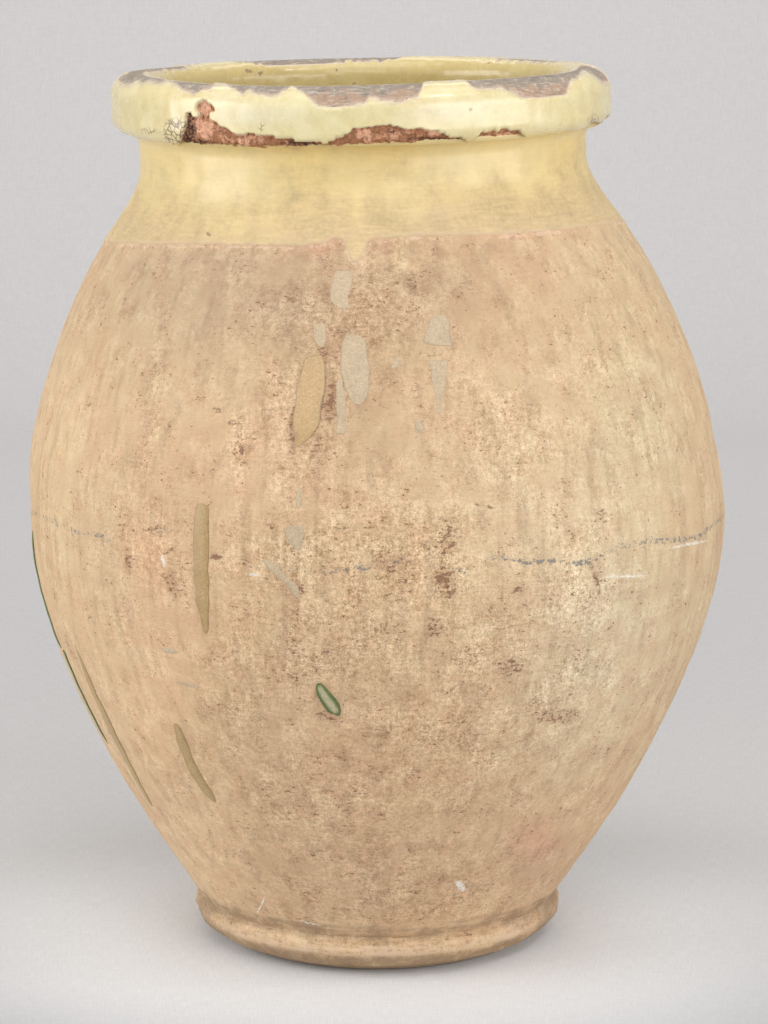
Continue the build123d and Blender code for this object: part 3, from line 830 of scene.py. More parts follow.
# How much higher the rim's crest stands than a level one, and how much lower its lower
# edge hangs: azimuth in degrees, millimetres
CREST_RISE = [(-180, 0), (-120, 1), (-95, 3.4), (-65, 3.8), (-45, 3), (-20, 2.5), (0, 2.6), (15, 3),
              (30, 3.2), (50, 2.9), (65, 2.2), (90, 1.2), (120, 0.3), (180, 0)]
LIP_DROP = [(-180, 0), (-80, 0), (-58, 1.4), (-40, 3.2), (-20, 3.4), (-6, 2.6), (10, 1.4), (30, 0),
            (180, 0)]


def rim_place(azimuth, radius, height):
    """A point of the rim: it swells slowly in and out, less so down the bore, where it
    meets the neck. Its crest is raised and its lower edge lowered by azimuth."""
    turn = np.degrees(azimuth)
    outside = smooth_step(radius, BORE + 8 * MM, BORE + 14 * MM)
    free = np.maximum(smooth_step(height, ROOT, ROOT + 22 * MM), outside)
    sway = (0.5 * MM * waves(azimuth, 0.0, 0.25, 63) - 0.7 * MM) * free
    rise = looked_up(turn, CREST_RISE) * MM * smooth_step(height, RIM_EDGE, CREST - 10 * MM)
    low = 1 - smooth_step(height, RIM_EDGE, RIM_EDGE + 16 * MM)
    drop = looked_up(turn, LIP_DROP) * MM * low * outside
    return seat(azimuth, radius + sway, height + rise - drop)


# How deep the coat's surface dives where it is bitten and where it is worn, and how
# deep its back lies in the clay, on some rows of the profile
BITE_DEPTH, WORN_DEPTH, BACK_DEPTH = 4.6 * MM, 0.7 * MM, 6 * MM
BACK_ROWS = [80, 64, 56, 44, 30, 12, 2]
# Where the coat thins out in the neck: how far below the rim's root, and how proud
COAT_END = [(2 * MM, 0.8 * MM), (5 * MM, 0.4 * MM), (8 * MM, 0.05 * MM), (9 * MM, -0.5 * MM)]


def rim_glaze(glaze):
    """The coat over the rim. Where it is bitten or worn away its surface dives into the
    clay, so that it ends in a broken edge. In the neck it thins out to nothing."""
    (radius, height, out_r, out_z), azimuth, around, wide, tall = rim_grid((22, 18, 8, 9, 12))
    bites, worn, wear = rim_masks(around, wide, tall)
    gone = np.maximum(bites, worn)
    thick = GLAZE * (0.85 + 0.12 * waves(around, tall, 0.02, 64))
    skin = thick * (1 - gone) - BITE_DEPTH * bites - WORN_DEPTH * worn * (1 - bites)
    front = rim_place(around, wide + skin * out_r[:, None], tall + skin * out_z[:, None])
    ends = [(outline(ROOT - down) - WALL - proud, ROOT - down) for down, proud in COAT_END]
    ends = rings(ends, azimuth)
    behind = [(radius[i] - BACK_DEPTH * out_r[i], height[i] - BACK_DEPTH * out_z[i]) for i in BACK_ROWS]
    behind = np.stack([rim_place(azimuth, *place) for place in behind])
    x, y = project(rim_place(around, wide, tall))
    facing = front_share(around)
    # The pale mark is a painted highlight of the soft boxes
    marks = {"gone": gone, "pale": blotches(x, y, facing, HIGHLIGHT_PLACES),
             "crazed": blotches(x, y, facing, CRAZED), "wear": wear,
             "inside": 1 - smooth_step(wide, BORE + 5 * MM, BORE + 9 * MM)}
    marks = extended(marks, 0, len(ends) + len(behind))
    marks["wear"][len(front):] = -WEAR_REACH
    marks["inside"][len(front):] = 1
    points = np.concatenate([front, ends, behind])
    return settle(woven("rim_glaze_coat", points, True, marks), glaze, "yellow_glaze", "rim_glaze")


# Where the coat is deeper and darker below the rim: thicker pooled glaze, and painted shade under the
# rim's overhang
AMBER_AND_SHADE_STAINS = [(368, 146, 66, 15, 0, 1.0), (200, 141, 60, 5, 0, 0.5), (480, 142, 60, 4, 0, 0.3)]


# The collar's rows, the fillet's height and reach under the rim and where it starts, and
# how far up the coat's back rows lie in the clay
COLLAR_ROWS, FILLET_ROWS, FILLET_RISE, FILLET_REACH = 62, 13, 10.5 * MM, NECK + 12 * MM
FILLET_START = ROOT - 5.5 * MM
COLLAR_BACK = (0.7, 0.45, 0.2, 0.03)


def collar_glaze(glaze):
    """The coat over shoulder and neck: from its thin hem up to the rim's underside.

    Rows go from the hem, closer together there, to the root of the rim, then out under
    it through a quarter ellipse, and back inside the clay."""
    azimuth = columns(COLLAR_COLUMNS)
    share = np.linspace(0, 1, COLLAR_ROWS) ** 1.15
    hem = hem_height(azimuth)
    above = share[:, None] * (FILLET_START - hem)
    tall = hem + above
    around = np.repeat(azimuth[None, :], COLLAR_ROWS, axis=0)
    thick = GLAZE * smooth_step(above, -0.2 * MM, 2.2 * MM) * (0.85 + 0.15 * waves(around, tall, 0.03, 71))
    thick = thick - 0.15 * MM * (above < 0.05 * MM)
    coat = clay_surface(around, tall, thick)
    marks = clay_marks(around, tall, coat)
    x, y = project(coat)
    # Pooled glaze and painted shade under the rim's overhang
    marks["amber_and_shade"] = blotches(x, y, front_share(around, -0.02), AMBER_AND_SHADE_STAINS)
    turn = np.linspace(0, math.pi / 2, FILLET_ROWS + 1)[1:]
    last = outline(FILLET_START) + throwing_relief(azimuth, FILLET_START) + thick[-1]
    fillet = [(last + (FILLET_REACH - last) * (1 - math.cos(t)), FILLET_START + FILLET_RISE * math.sin(t))
              for t in turn]
    back = [(FILLET_REACH - 3 * MM, RIM_EDGE + 4 * MM), (NECK + 3 * MM, RIM_EDGE + 3 * MM),
            (NECK - 3 * MM, ROOT - 12 * MM)]
    sunk = [clay_surface(azimuth, hem + s * (ROOT - 14 * MM - hem), -3 * MM) for s in COLLAR_BACK]
    points = np.concatenate([coat, rings(fillet + back, azimuth), np.stack(sunk)])
    extra = len(points) - COLLAR_ROWS
    marks = {label: np.concatenate([values, np.repeat(values[-1:], extra, axis=0)])
             for label, values in marks.items()}
    return settle(woven("collar_glaze_coat", points, True, marks), glaze, "yellow_glaze", "collar_glaze")


class Value:
    """A socket of a node tree. Arithmetic on a number's socket adds its Math nodes."""

    def __init__(self, finish, socket):
        self.finish, self.socket = finish, socket

    def math(self, operation, *others):
        """A Math node on this number and up to two others."""
        return self.finish.node("Math", {"operation": operation}, self, *others)

    def __add__(self, other):
        return self.math("ADD", other)

    def __sub__(self, other):
        return self.math("SUBTRACT", other)

    def __mul__(self, other):
        return self.math("MULTIPLY", other)

    def __rsub__(self, other):
        return self.finish.node("Math", {"operation": "SUBTRACT"}, other, self)

    __radd__, __rmul__ = __add__, __mul__

    def times_plus(self, factor, extra):
        """This number times a factor, plus an extra one."""
        return self.math("MULTIPLY_ADD", factor, extra)

    def min(self, other):
        """The smaller of two numbers."""
        return self.math("MINIMUM", other)

    def abs(self):
        """This number without its sign."""
        return self.math("ABSOLUTE")

    def step(self, low, high):
        """0 below low, 1 above high, an S between them; the other way if low is higher."""
        settings = {"interpolation_type": "SMOOTHSTEP"}
        return self.finish.node("MapRange", settings, self, low, high, 0.0, 1.0)


class Finish:
    """One material: its nodes and the patterns that this jar's finishes share."""

    def __init__(self, name):
        self.material = bpy.data.materials.new(name)
        self.material.use_nodes = True
        self.tree = self.material.node_tree
        self.tree.nodes.clear()
        self.place = self.node("TexCoord", {}, out="Object")

    def node(self, kind, settings, *values, out=0, stops=(), sockets=None):
        """Adds a node of a kind and returns one of its outputs, if it has any. Settings
        and a curve's stops come first, then the values or links of its sockets, in their
        order or by index or name."""
        node = self.tree.nodes.new("ShaderNode" + kind)
        for key, setting in settings.items():
            setattr(node, key, setting)
        if stops:
            line = node.mapping.curves[0].points
            line[0].location, line[-1].location = stops[0], stops[-1]
            for x, y in stops[1:-1]:
                line.new(x, y)
            for point in line:
                point.handle_type = "VECTOR"
            node.mapping.update()
        for key, value in [*enumerate(values), *(sockets or {}).items()]:
            socket = node.inputs[key]
            if isinstance(value, Value):
                self.tree.links.new(value.socket, socket)
            else:
                socket.default_value = value
        return Value(self, node.outputs[out]) if node.outputs else None

    def vector(self, operation, *values, out=0, sockets=None):
        """Vector arithmetic: an operation on sockets or triples of numbers."""
        return self.node("VectorMath", {"operation": operation}, *values, out=out, sockets=sockets)

    def part(self, vector, way):
        """One coordinate of a vector."""
        return self.node("SeparateXYZ", {}, vector, out=way)

    def mark(self, label, out="Fac"):
        """A number, or a vector, that the mesh carries at its points."""
        return self.node("Attribute", {"attribute_name": label}, out=out)

    def noise(self, scale, detail, rough, place=None):
        """Soft noise about 0.5; scale is in cells for each metre of the place."""
        sockets = {"Vector": place or self.place, "Scale": scale, "Detail": detail, "Roughness": rough}
        return self.node("TexNoise", {}, sockets=sockets)

    def drawn_noise(self, cells, detail, rough):
        """Noise with its own number of cells for each metre along x, y and z."""
        return self.noise(1.0, detail, rough, self.vector("MULTIPLY", self.place, cells))

    def cell_edges(self, scale):
        """Distance to the nearest edge between scattered cells, in cells."""
        sockets = {"Vector": self.place, "Scale": scale}
        return self.node("TexVoronoi", {"feature": "DISTANCE_TO_EDGE"}, out="Distance", sockets=sockets)

    def curve(self, value, stops):
        """A number looked up on a line through stops with both values in 0 to 1."""
        return self.node("FloatCurve", {}, stops=stops, sockets={"Value": value})

    def mix(self, share, first, second):
        """A colour between two, by a share."""
        ends = [value if isinstance(value, Value) else (*value, 1.0) for value in (first, second)]
        return self.node("Mix", {"data_type": "RGBA"}, out=2, sockets={0: share, 6: ends[0], 7: ends[1]})

    def shade(self, colour, share):
        """A colour times a number."""
        return self.vector("SCALE", colour, sockets={"Scale": share})

    def aged(self, colour, change):
        """A colour times one plus a change, which green and blue follow more than red:
        lighter above nothing, darker and redder below it."""
        factor = self.vector("SCALE", REDDENING, sockets={"Scale": change})
        return self.vector("MULTIPLY", colour, self.vector("ADD", factor, (1.0, 1.0, 1.0)))

    def photo_place(self):
        """Pixel x and y of the photograph's view."""
        where = self.mark("photo", "Vector")
        return self.part(where, "X"), self.part(where, "Y")

    def finish(self, colour, roughness, relief, depth, coat=0.0, **constants):
        """Closes the material: the shader, with relief as a bump of a real depth. The
        constants name more of its sockets, with underscores for spaces."""
        bump = {"Height": relief, "Distance": depth, "Strength": 1.0}
        sockets = {"Base Color": colour, "Roughness": roughness,
                   "Normal": self.node("Bump", {}, out="Normal", sockets=bump), "Coat Weight": coat}
        for key, value in constants.items():
            sockets[key.replace("_", " ")] = value
        self.node("OutputMaterial", {}, self.node("BsdfPrincipled", {}, sockets=sockets))
        return self.material


# Colours, in linear light: bare clay
SAND = (0.65, 0.465, 0.275)
WARM_SAND = (0.65, 0.44, 0.255)
PALE_SAND = (0.71, 0.545, 0.335)
PINK_CLAY = (0.64, 0.41, 0.25)
GREY_WASH = (0.47, 0.315, 0.195)
VEIL_YELLOW = (0.72, 0.58, 0.32)
RUST = (0.24, 0.11, 0.06)
SOOT = (0.19, 0.10, 0.055)
BLUE_GREY = (0.195, 0.20, 0.19)
RED_SCRATCH = (0.55, 0.28, 0.21)
# White of scratches and dots, and of two painted glints
WHITE_AND_GLINT = (0.90, 0.88, 0.82)
HEM_PINK = (0.78, 0.58, 0.42)
# Dirt, and painted shade in the foot's crease and on its lower half and bevel
GRIME_AND_SHADE = (0.30, 0.20, 0.12)
FOOT_STRIPE = (0.66, 0.48, 0.32)
FOOT_CHIP = (0.50, 0.37, 0.25)
# The yellow coat of the collar
YELLOW = (0.86, 0.655, 0.27)
THIN_YELLOW = (0.635, 0.475, 0.24)
BEIGE = (0.575, 0.425, 0.255)
STREAK_BROWN = (0.60, 0.43, 0.20)
# Deep yellow of pooled glaze, darkened as painted shade under the rim
AMBER_AND_SHADE = (0.62, 0.42, 0.13)
SPECK_BROWN = (0.36, 0.25, 0.14)
SHOWING_CLAY = (0.66, 0.47, 0.31)
PIN_HOLE = (0.25, 0.16, 0.08)
# The coat of the rim and of the inside
LEMON = (0.75, 0.65, 0.345)
BUTTER = (0.76, 0.62, 0.32)
CREAM = (0.80, 0.73, 0.47)
DEEP_LEMON = (0.68, 0.53, 0.24)
# Paler lemon for painted highlights on the rim
HIGHLIGHT_LEMON = (0.86, 0.81, 0.60)
INSIDE_YELLOW = (0.64, 0.49, 0.19)
INSIDE_PALE = (0.68, 0.55, 0.27)
INSIDE_SPOT = (0.24, 0.15, 0.08)
BROKEN_EDGE = (0.80, 0.69, 0.52)
RUBBED_GLAZE = (0.60, 0.48, 0.35)
CRAZE_LINE = (0.20, 0.12, 0.07)
PIT_BROWN = (0.45, 0.33, 0.17)
# The rim's clay, in the bites and on the worn crest. The bites' browns are darker with painted shade of
# their recess under the glaze
SHADED_BROKEN_CLAY = (0.42, 0.19, 0.095)
PALE_BREAK = (0.76, 0.41, 0.26)
SHADED_BROWN_BREAK = (0.23, 0.105, 0.055)
DARK_CLAY = (0.13, 0.065, 0.04)
CRACK = (0.06, 0.03, 0.02)
CREST_GREY = (0.33, 0.275, 0.22)
CREST_PINK = (0.46, 0.31, 0.22)
CREST_PALE = (0.62, 0.53, 0.42)
CREST_MARGIN = (0.66, 0.52, 0.40)
CREST_DARK = (0.20, 0.155, 0.12)
# Drips: the body, the middle, the outline, and the colour on the shoulder
OCHRE_GLAZE = [(0.44, 0.295, 0.13), (0.48, 0.325, 0.15), (0.34, 0.23, 0.12), (0.60, 0.40, 0.21)]
GREEN_GLAZE = [(0.12, 0.16, 0.04), (0.50, 0.46, 0.28), (0.08, 0.11, 0.03), (0.12, 0.16, 0.04)]
GREY_GLAZE = [(0.55, 0.42, 0.27), (0.57, 0.44, 0.285), (0.44, 0.32, 0.20), (0.52, 0.395, 0.255)]
# The stage, from near to far, darker near the camera as painted shade that evens out the lamps' light, and
# the floor at the foot, paler and bluer as painted light that lifts the jar's shadow
SHADED_FLOOR_NEAR = (0.42, 0.425, 0.44)
FLOOR_MIDDLE = (0.595, 0.585, 0.575)
FLOOR_BEHIND = (0.545, 0.53, 0.52)
BACKDROP = (0.59, 0.572, 0.562)
FLOOR_LIT_AT_FOOT = (0.87, 0.90, 0.925)
# How much more green and blue change than red where clay is darker or lighter
REDDENING = (1.0, 1.17, 1.44)

# The belly joint's line of blue-grey specks in the photograph: x, y and strength
SEAM_LINE = [
    (20, 508, 0.5), (36, 514, 0.7), (46, 518, 0.2), (58, 524, 1), (67, 528, 0.1), (77, 533, 0.9),
    (86, 535, 0.1), (99, 535, 1), (112, 542, 0.3), (125, 545, 0), (240, 566, 0), (265, 567, 0.35),
    (300, 570, 0.2), (325, 572, 0.6), (350, 569, 0.5), (378, 566, 0.6), (392, 560, 0.3),
    (440, 566, 0.05), (465, 571, 0.75), (480, 566, 0.2), (495, 558, 0.6), (512, 560, 0.6),
    (530, 562, 1), (556, 561, 1), (563, 562, 0.3), (575, 564, 0.9), (596, 561, 0.9),
    (606, 554, 0.4), (622, 546, 0.6), (643, 543, 0.6), (650, 540, 0.3), (660, 541, 1),
    (676, 540, 0.7), (700, 537, 0.9), (711, 527, 0.8), (725, 515, 0.5),
]
# Thin marks in the photograph: x and y of both ends and half width, in pixels
DARK_MARKS = [
    (477, 505, 492, 508, 1.3), (335, 528, 348, 528, 1.5), (365, 528, 377, 527, 1.2),
    (540, 722, 546, 713, 1.4), (329, 295, 346, 308, 1.0), (326, 378, 322, 408, 1.0),
    (322, 409, 316, 432, 1.3), (295, 405, 291, 428, 1.5), (208, 512, 208.4, 560, 1.1),
    (216, 410, 220, 411, 2.4), (231, 423, 236, 423, 2.4), (241, 448, 242, 454, 2.2),
    (334, 908, 335, 908.5, 2.0), (411, 851, 412, 851.5, 2.4), (376, 945, 377, 945.5, 2),
    (592, 566, 600, 592, 1.8), (312, 330, 326, 346, 0.9), (446, 694, 454, 688, 1.3),
    (144, 530, 158, 528, 1.7), (164, 554, 174, 548, 1.7), (247, 464, 248, 465, 2),
]
RED_MARKS = [
    (124, 580, 133, 608, 1.1), (133, 608, 134, 634, 1.1), (137, 330, 149, 392, 1.1),
    (149, 392, 140, 470, 1.2), (236, 425, 245, 470, 1.1), (283, 600, 285, 700, 1.5),
]
# White scratches and dots; the first two are painted glints on specks of glaze near the belly joint
WHITE_MARKS_AND_GLINTS = [
    (162.5, 557, 164, 565, 1.8), (251, 574, 257, 575, 1.7), (606, 577, 646, 576, 1.1),
    (460, 885.5, 461, 886, 4.6), (350.5, 345, 351, 363, 0.9), (264, 899, 258, 912, 1.2),
    (302, 921, 322, 926, 0.8), (668, 548, 706, 541, 1.5),
]
COLLAR_MARKS = [(208, 234, 209, 234.5, 1.9), (593, 233, 594, 233.5, 2.3)]


def thin_marks(x, y, marks):
    """Squared distance to the nearest of some thin ellipses, in half sizes. Along its
    longer way an ellipse spans a mark's length, and it is sheared to the mark's slope."""
    nearest = None
    for start_x, start_y, end_x, end_y, half in marks:
        flat = abs(end_x - start_x) >= abs(end_y - start_y)
        along, across = (x, y) if flat else (y, x)
        first, last = (start_x, end_x) if flat else (start_y, end_y)
        side, other = (start_y, end_y) if flat else (start_x, end_x)
        slope = (other - side) / (last - first)
        reach = abs(last - first) / 2 + half
        place = along.times_plus(1 / reach, -(first + last) / 2 / reach)
        base = along.times_plus(-slope / half, (slope * first - side) / half)
        gap = across.times_plus(1 / half, base)
        part = gap.times_plus(gap, place * place)
        nearest = part if nearest is None else nearest.min(part)
    return nearest


def turned(f):
    """Noise drawn out along the foot's roll, as the potter's hand leaves it."""
    return f.drawn_noise((30, 30, 260), 3, 0.6)


def strokes_of_wear(f):
    """Noise drawn out along the rim, as lids and ropes have rubbed it."""
    return f.drawn_noise((130, 130, 800), 3, 0.65)


def clay_colour(f):
    """Bare clay. Broad patches change its hue. Fine noise makes it lighter, or darker and
    redder, and more so where the specks are. Rusty clusters and dark specks come last.
    Returns colour, relief and two noises."""
    cloud, patch = f.noise(9, 2, 0.5), f.noise(46, 2, 0.5)
    tint, mottle, grain = f.noise(64, 1, 0.5), f.noise(280, 4, 0.72), f.noise(900, 2, 0.7)
    streaks = f.drawn_noise((110, 110, 7), 2, 0.5)
    fibres = f.drawn_noise((560, 560, 50), 2, 0.6)
    lines = f.drawn_noise((70, 70, 520), 3, 0.68)
    specky = f.drawn_noise((230, 230, 480), 3, 0.68)
    colour = f.mix((cloud + (patch - 0.5) * 0.6).step(0.38, 0.64), SAND, WARM_SAND)
    colour = f.mix((patch - tint * 0.5).step(0.22, 0.36) * 0.3, colour, PALE_SAND)
    colour = f.mix(tint.step(0.42, 0.66) * 0.4, colour, PINK_CLAY)
    colour = f.mix((streaks + (patch - 0.5) * 0.5).step(0.48, 0.68) * 0.35, colour, GREY_WASH)
    colour = f.vector("MULTIPLY", colour, f.mark("tint", "Vector"))
    veil = f.mark("veil") * (patch + mottle).step(0.85, 1.1)
    colour = f.mix(veil * 0.8, colour, VEIL_YELLOW)
    crowd = f.mark("specks")
    coarse = crowd * 1.7 + 0.38 + (patch - 0.5) * 2
    fine = (mottle - 0.5) * 1.1 + (grain - 0.5) * 0.9 + (lines - 0.5) * 0.35 + (fibres - 0.5) * 0.25
    broad = (0.5 - tint) * 0.5 + (patch - 0.5) * 0.4 + (0.5 - streaks) * 0.6
    broad = broad * (crowd * 0.4 + 0.25) + (turned(f) - 0.5) * f.mark("foot") * 1.3
    colour = f.aged(colour, fine.times_plus(coarse, broad))
    rust = f.mark("rust")
    broken = rust * 0.3 + (mottle - 0.5) * 1.6 + (specky - 0.5) * 1.4 - 0.19
    colour = f.mix(rust.step(0.0, 0.6) * (0.12 + broken.step(0.0, 0.1) * 0.75), colour, RUST)
    density = (crowd + (tint - 0.5) * 4 + (patch - 0.5) * 3).step(0.0, 1.3)
    specks = (specky - density.times_plus(-0.066, 0.662)).step(0.0, 0.035)
    colour = f.mix(specks * 0.8, colour, SOOT)
    relief = mottle * 0.8 + grain * 0.35 + lines * 0.45
    return colour, relief, patch, mottle


def photo_marks(f, colour, mottle):
    """The photograph's scratches, hairlines and specks, on places moved a little by
    noise: blue-grey along the belly joint, brown, reddish and white elsewhere, two of the
    white ones painted glints on specks of glaze near the belly joint."""
    x, y = f.photo_place()
    broken = f.drawn_noise((330, 330, 420), 3, 0.7)
    x, y = x + (broken - 0.5) * 5, y + (mottle - 0.5) * 6
    share = x * (1 / PHOTO_WIDTH)
    line = f.curve(share, [(a / PHOTO_WIDTH, b / PHOTO_HEIGHT) for a, b, strength in SEAM_LINE])
    strength = f.curve(share, [(a / PHOTO_WIDTH, strength) for a, b, strength in SEAM_LINE])
    near = (y - line * PHOTO_HEIGHT).abs().step(4.5, 0.8) * strength
    dabs = (near * 0.2 + (broken - 0.5) * 1.3 + (mottle - 0.5) * 0.5).step(0.14, 0.23)
    colour = f.mix(dabs * near.step(0.0, 0.25) * 0.85, colour, BLUE_GREY)
    texture = mottle + broken
    red = thin_marks(x, y, RED_MARKS).step(1.8, 0.2) * texture.step(0.9, 1.08)
    colour = f.mix(red * 0.5, colour, RED_SCRATCH)
    dark = thin_marks(x, y, DARK_MARKS).step(2.2, 0.3) * texture.step(0.95, 1.06)
    colour = f.mix(dark * 0.8, colour, SOOT)
    # White marks, two of them painted glints
    white = thin_marks(x, y, WHITE_MARKS_AND_GLINTS).step(1.4, 0.5) * broken.step(0.4, 0.52)
    return f.mix(white * 0.7, colour, WHITE_AND_GLINT)


def clay_finish():
    """The finish of the bare walls and the foot, and of the glazed inside."""
    f = Finish("bare_clay")
    colour, relief, patch, mottle = clay_colour(f)
    colour = photo_marks(f, colour, mottle)
    flecks = patch + mottle
    above = f.mark("hem") * (1 / MM)
    line = (above + 1.2 + (mottle - 0.5) * 6).abs().step(1.6, 0.3)
    colour = f.mix(line * flecks.step(0.95, 1.1) * 0.5, colour, HEM_PINK)
    # Painted shade with some dirt in the foot's crease and on its lower half and bevel; dirt at both ends
    # of its front
    grime_and_shade = f.mark("grime_and_shade")
    dirty = grime_and_shade + (patch - 0.5) * 2 + (mottle - 0.5) * 2.5 + (turned(f) - 0.5) * 2
    colour = f.mix(dirty.step(-0.1, 0.9) * grime_and_shade.step(0.02, 0.3) * 0.8, colour, GRIME_AND_SHADE)
    colour = f.mix(f.mark("cream") * flecks.step(0.8, 1.1) * 0.8, colour, FOOT_STRIPE)
    colour = f.mix(f.mark("chips").step(0.2, 0.9) * 0.5, colour, FOOT_CHIP)
    inside = f.mark("inside")
    glaze = f.mix(flecks.step(0.85, 1.15), INSIDE_YELLOW, INSIDE_PALE)
    colour = f.mix(inside, colour, glaze)
    roughness = (0.74 + (patch - 0.5) * 0.4) * (1 - inside) + inside * 0.25
    return f.finish(colour, roughness, relief, 0.8 * MM, Specular_IOR_Level=0.3)


def collar_finish():
    """The yellow coat on the collar: warm and deep near the neck, thin, beige and dull
    towards the hem, where the clay shows through in flecks."""
    f = Finish("collar_glaze")
    above = f.mark("hem") * (1 / MM)
    cloud, patch, mottle = f.noise(13, 2, 0.5), f.noise(60, 2, 0.5), f.noise(300, 3, 0.7)
    streaks = f.drawn_noise((60, 60, 7), 3, 0.6)
    lines = f.drawn_noise((60, 60, 480), 3, 0.65)
    thin = (above + (patch - 0.5) * 60 + (cloud - 0.5) * 110).step(62, 4)
    colour = f.mix(cloud.step(0.38, 0.62) * 0.6, YELLOW, BUTTER)
    colour = f.mix(thin, colour, THIN_YELLOW)
    beige = thin * ((patch - 0.5) * 2 + 0.45 - above * 0.008)
    colour = f.mix(beige.step(0.0, 0.8) * 0.6, colour, BEIGE)
    colour = f.mix(streaks.step(0.53, 0.66) * 0.15, colour, STREAK_BROWN)
    # Painted shade under the rim's overhang, with the deeper colour of pooled glaze
    amber_and_shade = f.mark("amber_and_shade")
    colour = f.mix(amber_and_shade * 0.6, colour, AMBER_AND_SHADE)
    fine = (mottle - 0.5) * 0.45 + (lines - 0.5) * 0.4 + (patch - 0.5) * 0.3 + (streaks - 0.5) * 0.35
    colour = f.shade(colour, fine.times_plus(0.35 + thin * 0.75, 1.0))
    specks = (mottle + (patch - 0.5) * 0.8 + thin * 0.02).step(0.67, 0.73)
    colour = f.mix(specks * (0.03 + thin * 0.2), colour, SPECK_BROWN)
    through = (above + (mottle - 0.5) * 8 + (patch - 0.5) * 8).step(2.6, 0.6)
    colour = f.mix(through * 0.7, colour, SHOWING_CLAY)
    dark = thin_marks(*f.photo_place(), COLLAR_MARKS).step(1.7, 0.3)
    colour = f.mix(dark * 0.7, colour, PIN_HOLE)
    roughness = 0.38 + thin * 0.25 + through * 0.15 + (patch - 0.5) * 0.3
    relief = cloud * 2.0 + patch * 0.8 + mottle * 0.12 * (0.2 + thin)
    coat = ((1 - thin) * 0.2 + 0.05) * (1 - amber_and_shade * 0.8)
    return f.finish(colour, roughness, relief, 0.5 * MM, coat, Coat_Roughness=0.17)


def rim_glaze_finish():
    """The lemon coat of the rim, with faint cloudy patches and pits, painted highlights in
    front, brown spots inside, rubbed edges beside the worn crest and crazing beside the bites."""
    f = Finish("rim_glaze")
    cloud, patch, mottle = f.noise(13, 2, 0.5), f.noise(70, 3, 0.5), f.noise(320, 3, 0.7)
    colour = f.mix(cloud.step(0.35, 0.65), LEMON, BUTTER)
    colour = f.mix(patch.step(0.46, 0.72) * 0.35, colour, CREAM)
    colour = f.mix(patch.step(0.50, 0.34) * 0.2, colour, DEEP_LEMON)
    # Painted highlights: paler glaze where the soft boxes reflect on the rim
    colour = f.mix(f.mark("pale") * 0.5, colour, HIGHLIGHT_LEMON)
    inside = f.mark("inside")
    colour = f.mix(inside * (0.5 + cloud * 0.5), colour, INSIDE_YELLOW)
    colour = f.mix((patch + mottle * 0.5).step(0.93, 0.99) * inside * 0.8, colour, INSIDE_SPOT)
    edge = f.mark("gone")
    colour = f.mix((edge + (mottle - 0.5) * 0.8).step(0.05, 0.5) * 0.6, colour, BROKEN_EDGE)
    wear = f.mark("wear") + (strokes_of_wear(f) - 0.5) * 16 + (mottle - 0.5) * 6
    colour = f.mix(wear.step(-5.5, 0.0) * 0.75, colour, RUBBED_GLAZE)
    cracks = (f.cell_edges(260) + (mottle - 0.5) * 0.2).step(0.15, 0.05) * f.mark("crazed").step(0.15, 0.6)
    colour = f.mix(cracks * 0.85, colour, CRAZE_LINE)
    pits = (mottle * 0.8 + patch * 0.3).step(0.72, 0.78)
    colour = f.mix(pits * 0.4, colour, PIT_BROWN)
    colour = f.shade(colour, 1 + (mottle - 0.5) * 0.25 + (patch - 0.5) * 0.15)
    roughness = 0.27 + (patch - 0.5) * 0.25 + edge * 0.3
    relief = cloud * 2.0 + patch * 0.5 - pits * 0.2
    return f.finish(colour, roughness, relief, 0.3 * MM, (1 - edge) * 0.4, Coat_Roughness=0.15)


def rim_clay_finish():
    """The rim's bare clay: orange, salmon and cracked brown in the bites, the browns darker
    with painted shade of their recess, and a dirty grey or pink with pale and dark strokes
    on the worn crest, paler along its outline."""
    f = Finish("rim_clay")
    patch, mottle, fine = f.noise(90, 4, 0.65), f.noise(330, 4, 0.7), f.noise(900, 2, 0.7)
    cloud = f.noise(22, 2, 0.5)
    face = f.mark("face") + (patch - 0.5) * 3
    broken = f.mix((face + (mottle - 0.5) * 2).step(0.1, 0.7), SHADED_BROKEN_CLAY, PALE_BREAK)
    cracked = f.mark("cracked")
    cracks = (mottle - 0.5).abs() * 0.6 + (patch - 0.5).abs() - cracked * 0.05
    broken = f.mix(cracks.step(0.04, 0.0) * 0.8, broken, DARK_CLAY)
    # Brown of cracks, and painted shade in the bites' recess
    browner_and_shaded = (cracked + (mottle - 0.5) * 2.5).step(0.25, 0.9)
    broken = f.mix(browner_and_shaded * 0.75, broken, SHADED_BROWN_BREAK)
    crazing = (f.cell_edges(240) + (mottle - 0.5) * 0.3).step(0.14, 0.04)
    broken = f.mix(crazing * cracked.step(0.2, 0.7), broken, CRACK)
    pinker = face + (cloud - 0.5) * 2 - 0.6
    crest = f.mix(pinker.step(-0.3, 0.4), CREST_GREY, CREST_PINK)
    strokes = strokes_of_wear(f)
    crest = f.mix((strokes * 0.8 + mottle * 0.3).step(0.57, 0.66) * 0.6, crest, CREST_PALE)
    margin = (f.mark("wear") + (strokes - 0.5) * 10 + (mottle - 0.5) * 6).step(4.0, 1.0)
    crest = f.mix(margin * 0.7, crest, CREST_MARGIN)
    crest = f.mix((strokes * 0.6 + patch * 0.5).step(0.50, 0.42) * 0.5, crest, CREST_DARK)
    bitten = f.mark("bitten")
    colour = f.mix(bitten.step(0.3, 0.7), crest, broken)
    colour = f.shade(colour, 1 + ((mottle - 0.5) * 1.0 + (fine - 0.5) * 0.8) * (0.4 + bitten * 0.8))
    relief = mottle * 1.2 + patch * 1.0 + fine * 0.3
    return f.finish(colour, 0.8 + (mottle - 0.5) * 0.2, relief, 0.8 * MM, Specular_IOR_Level=0.25)


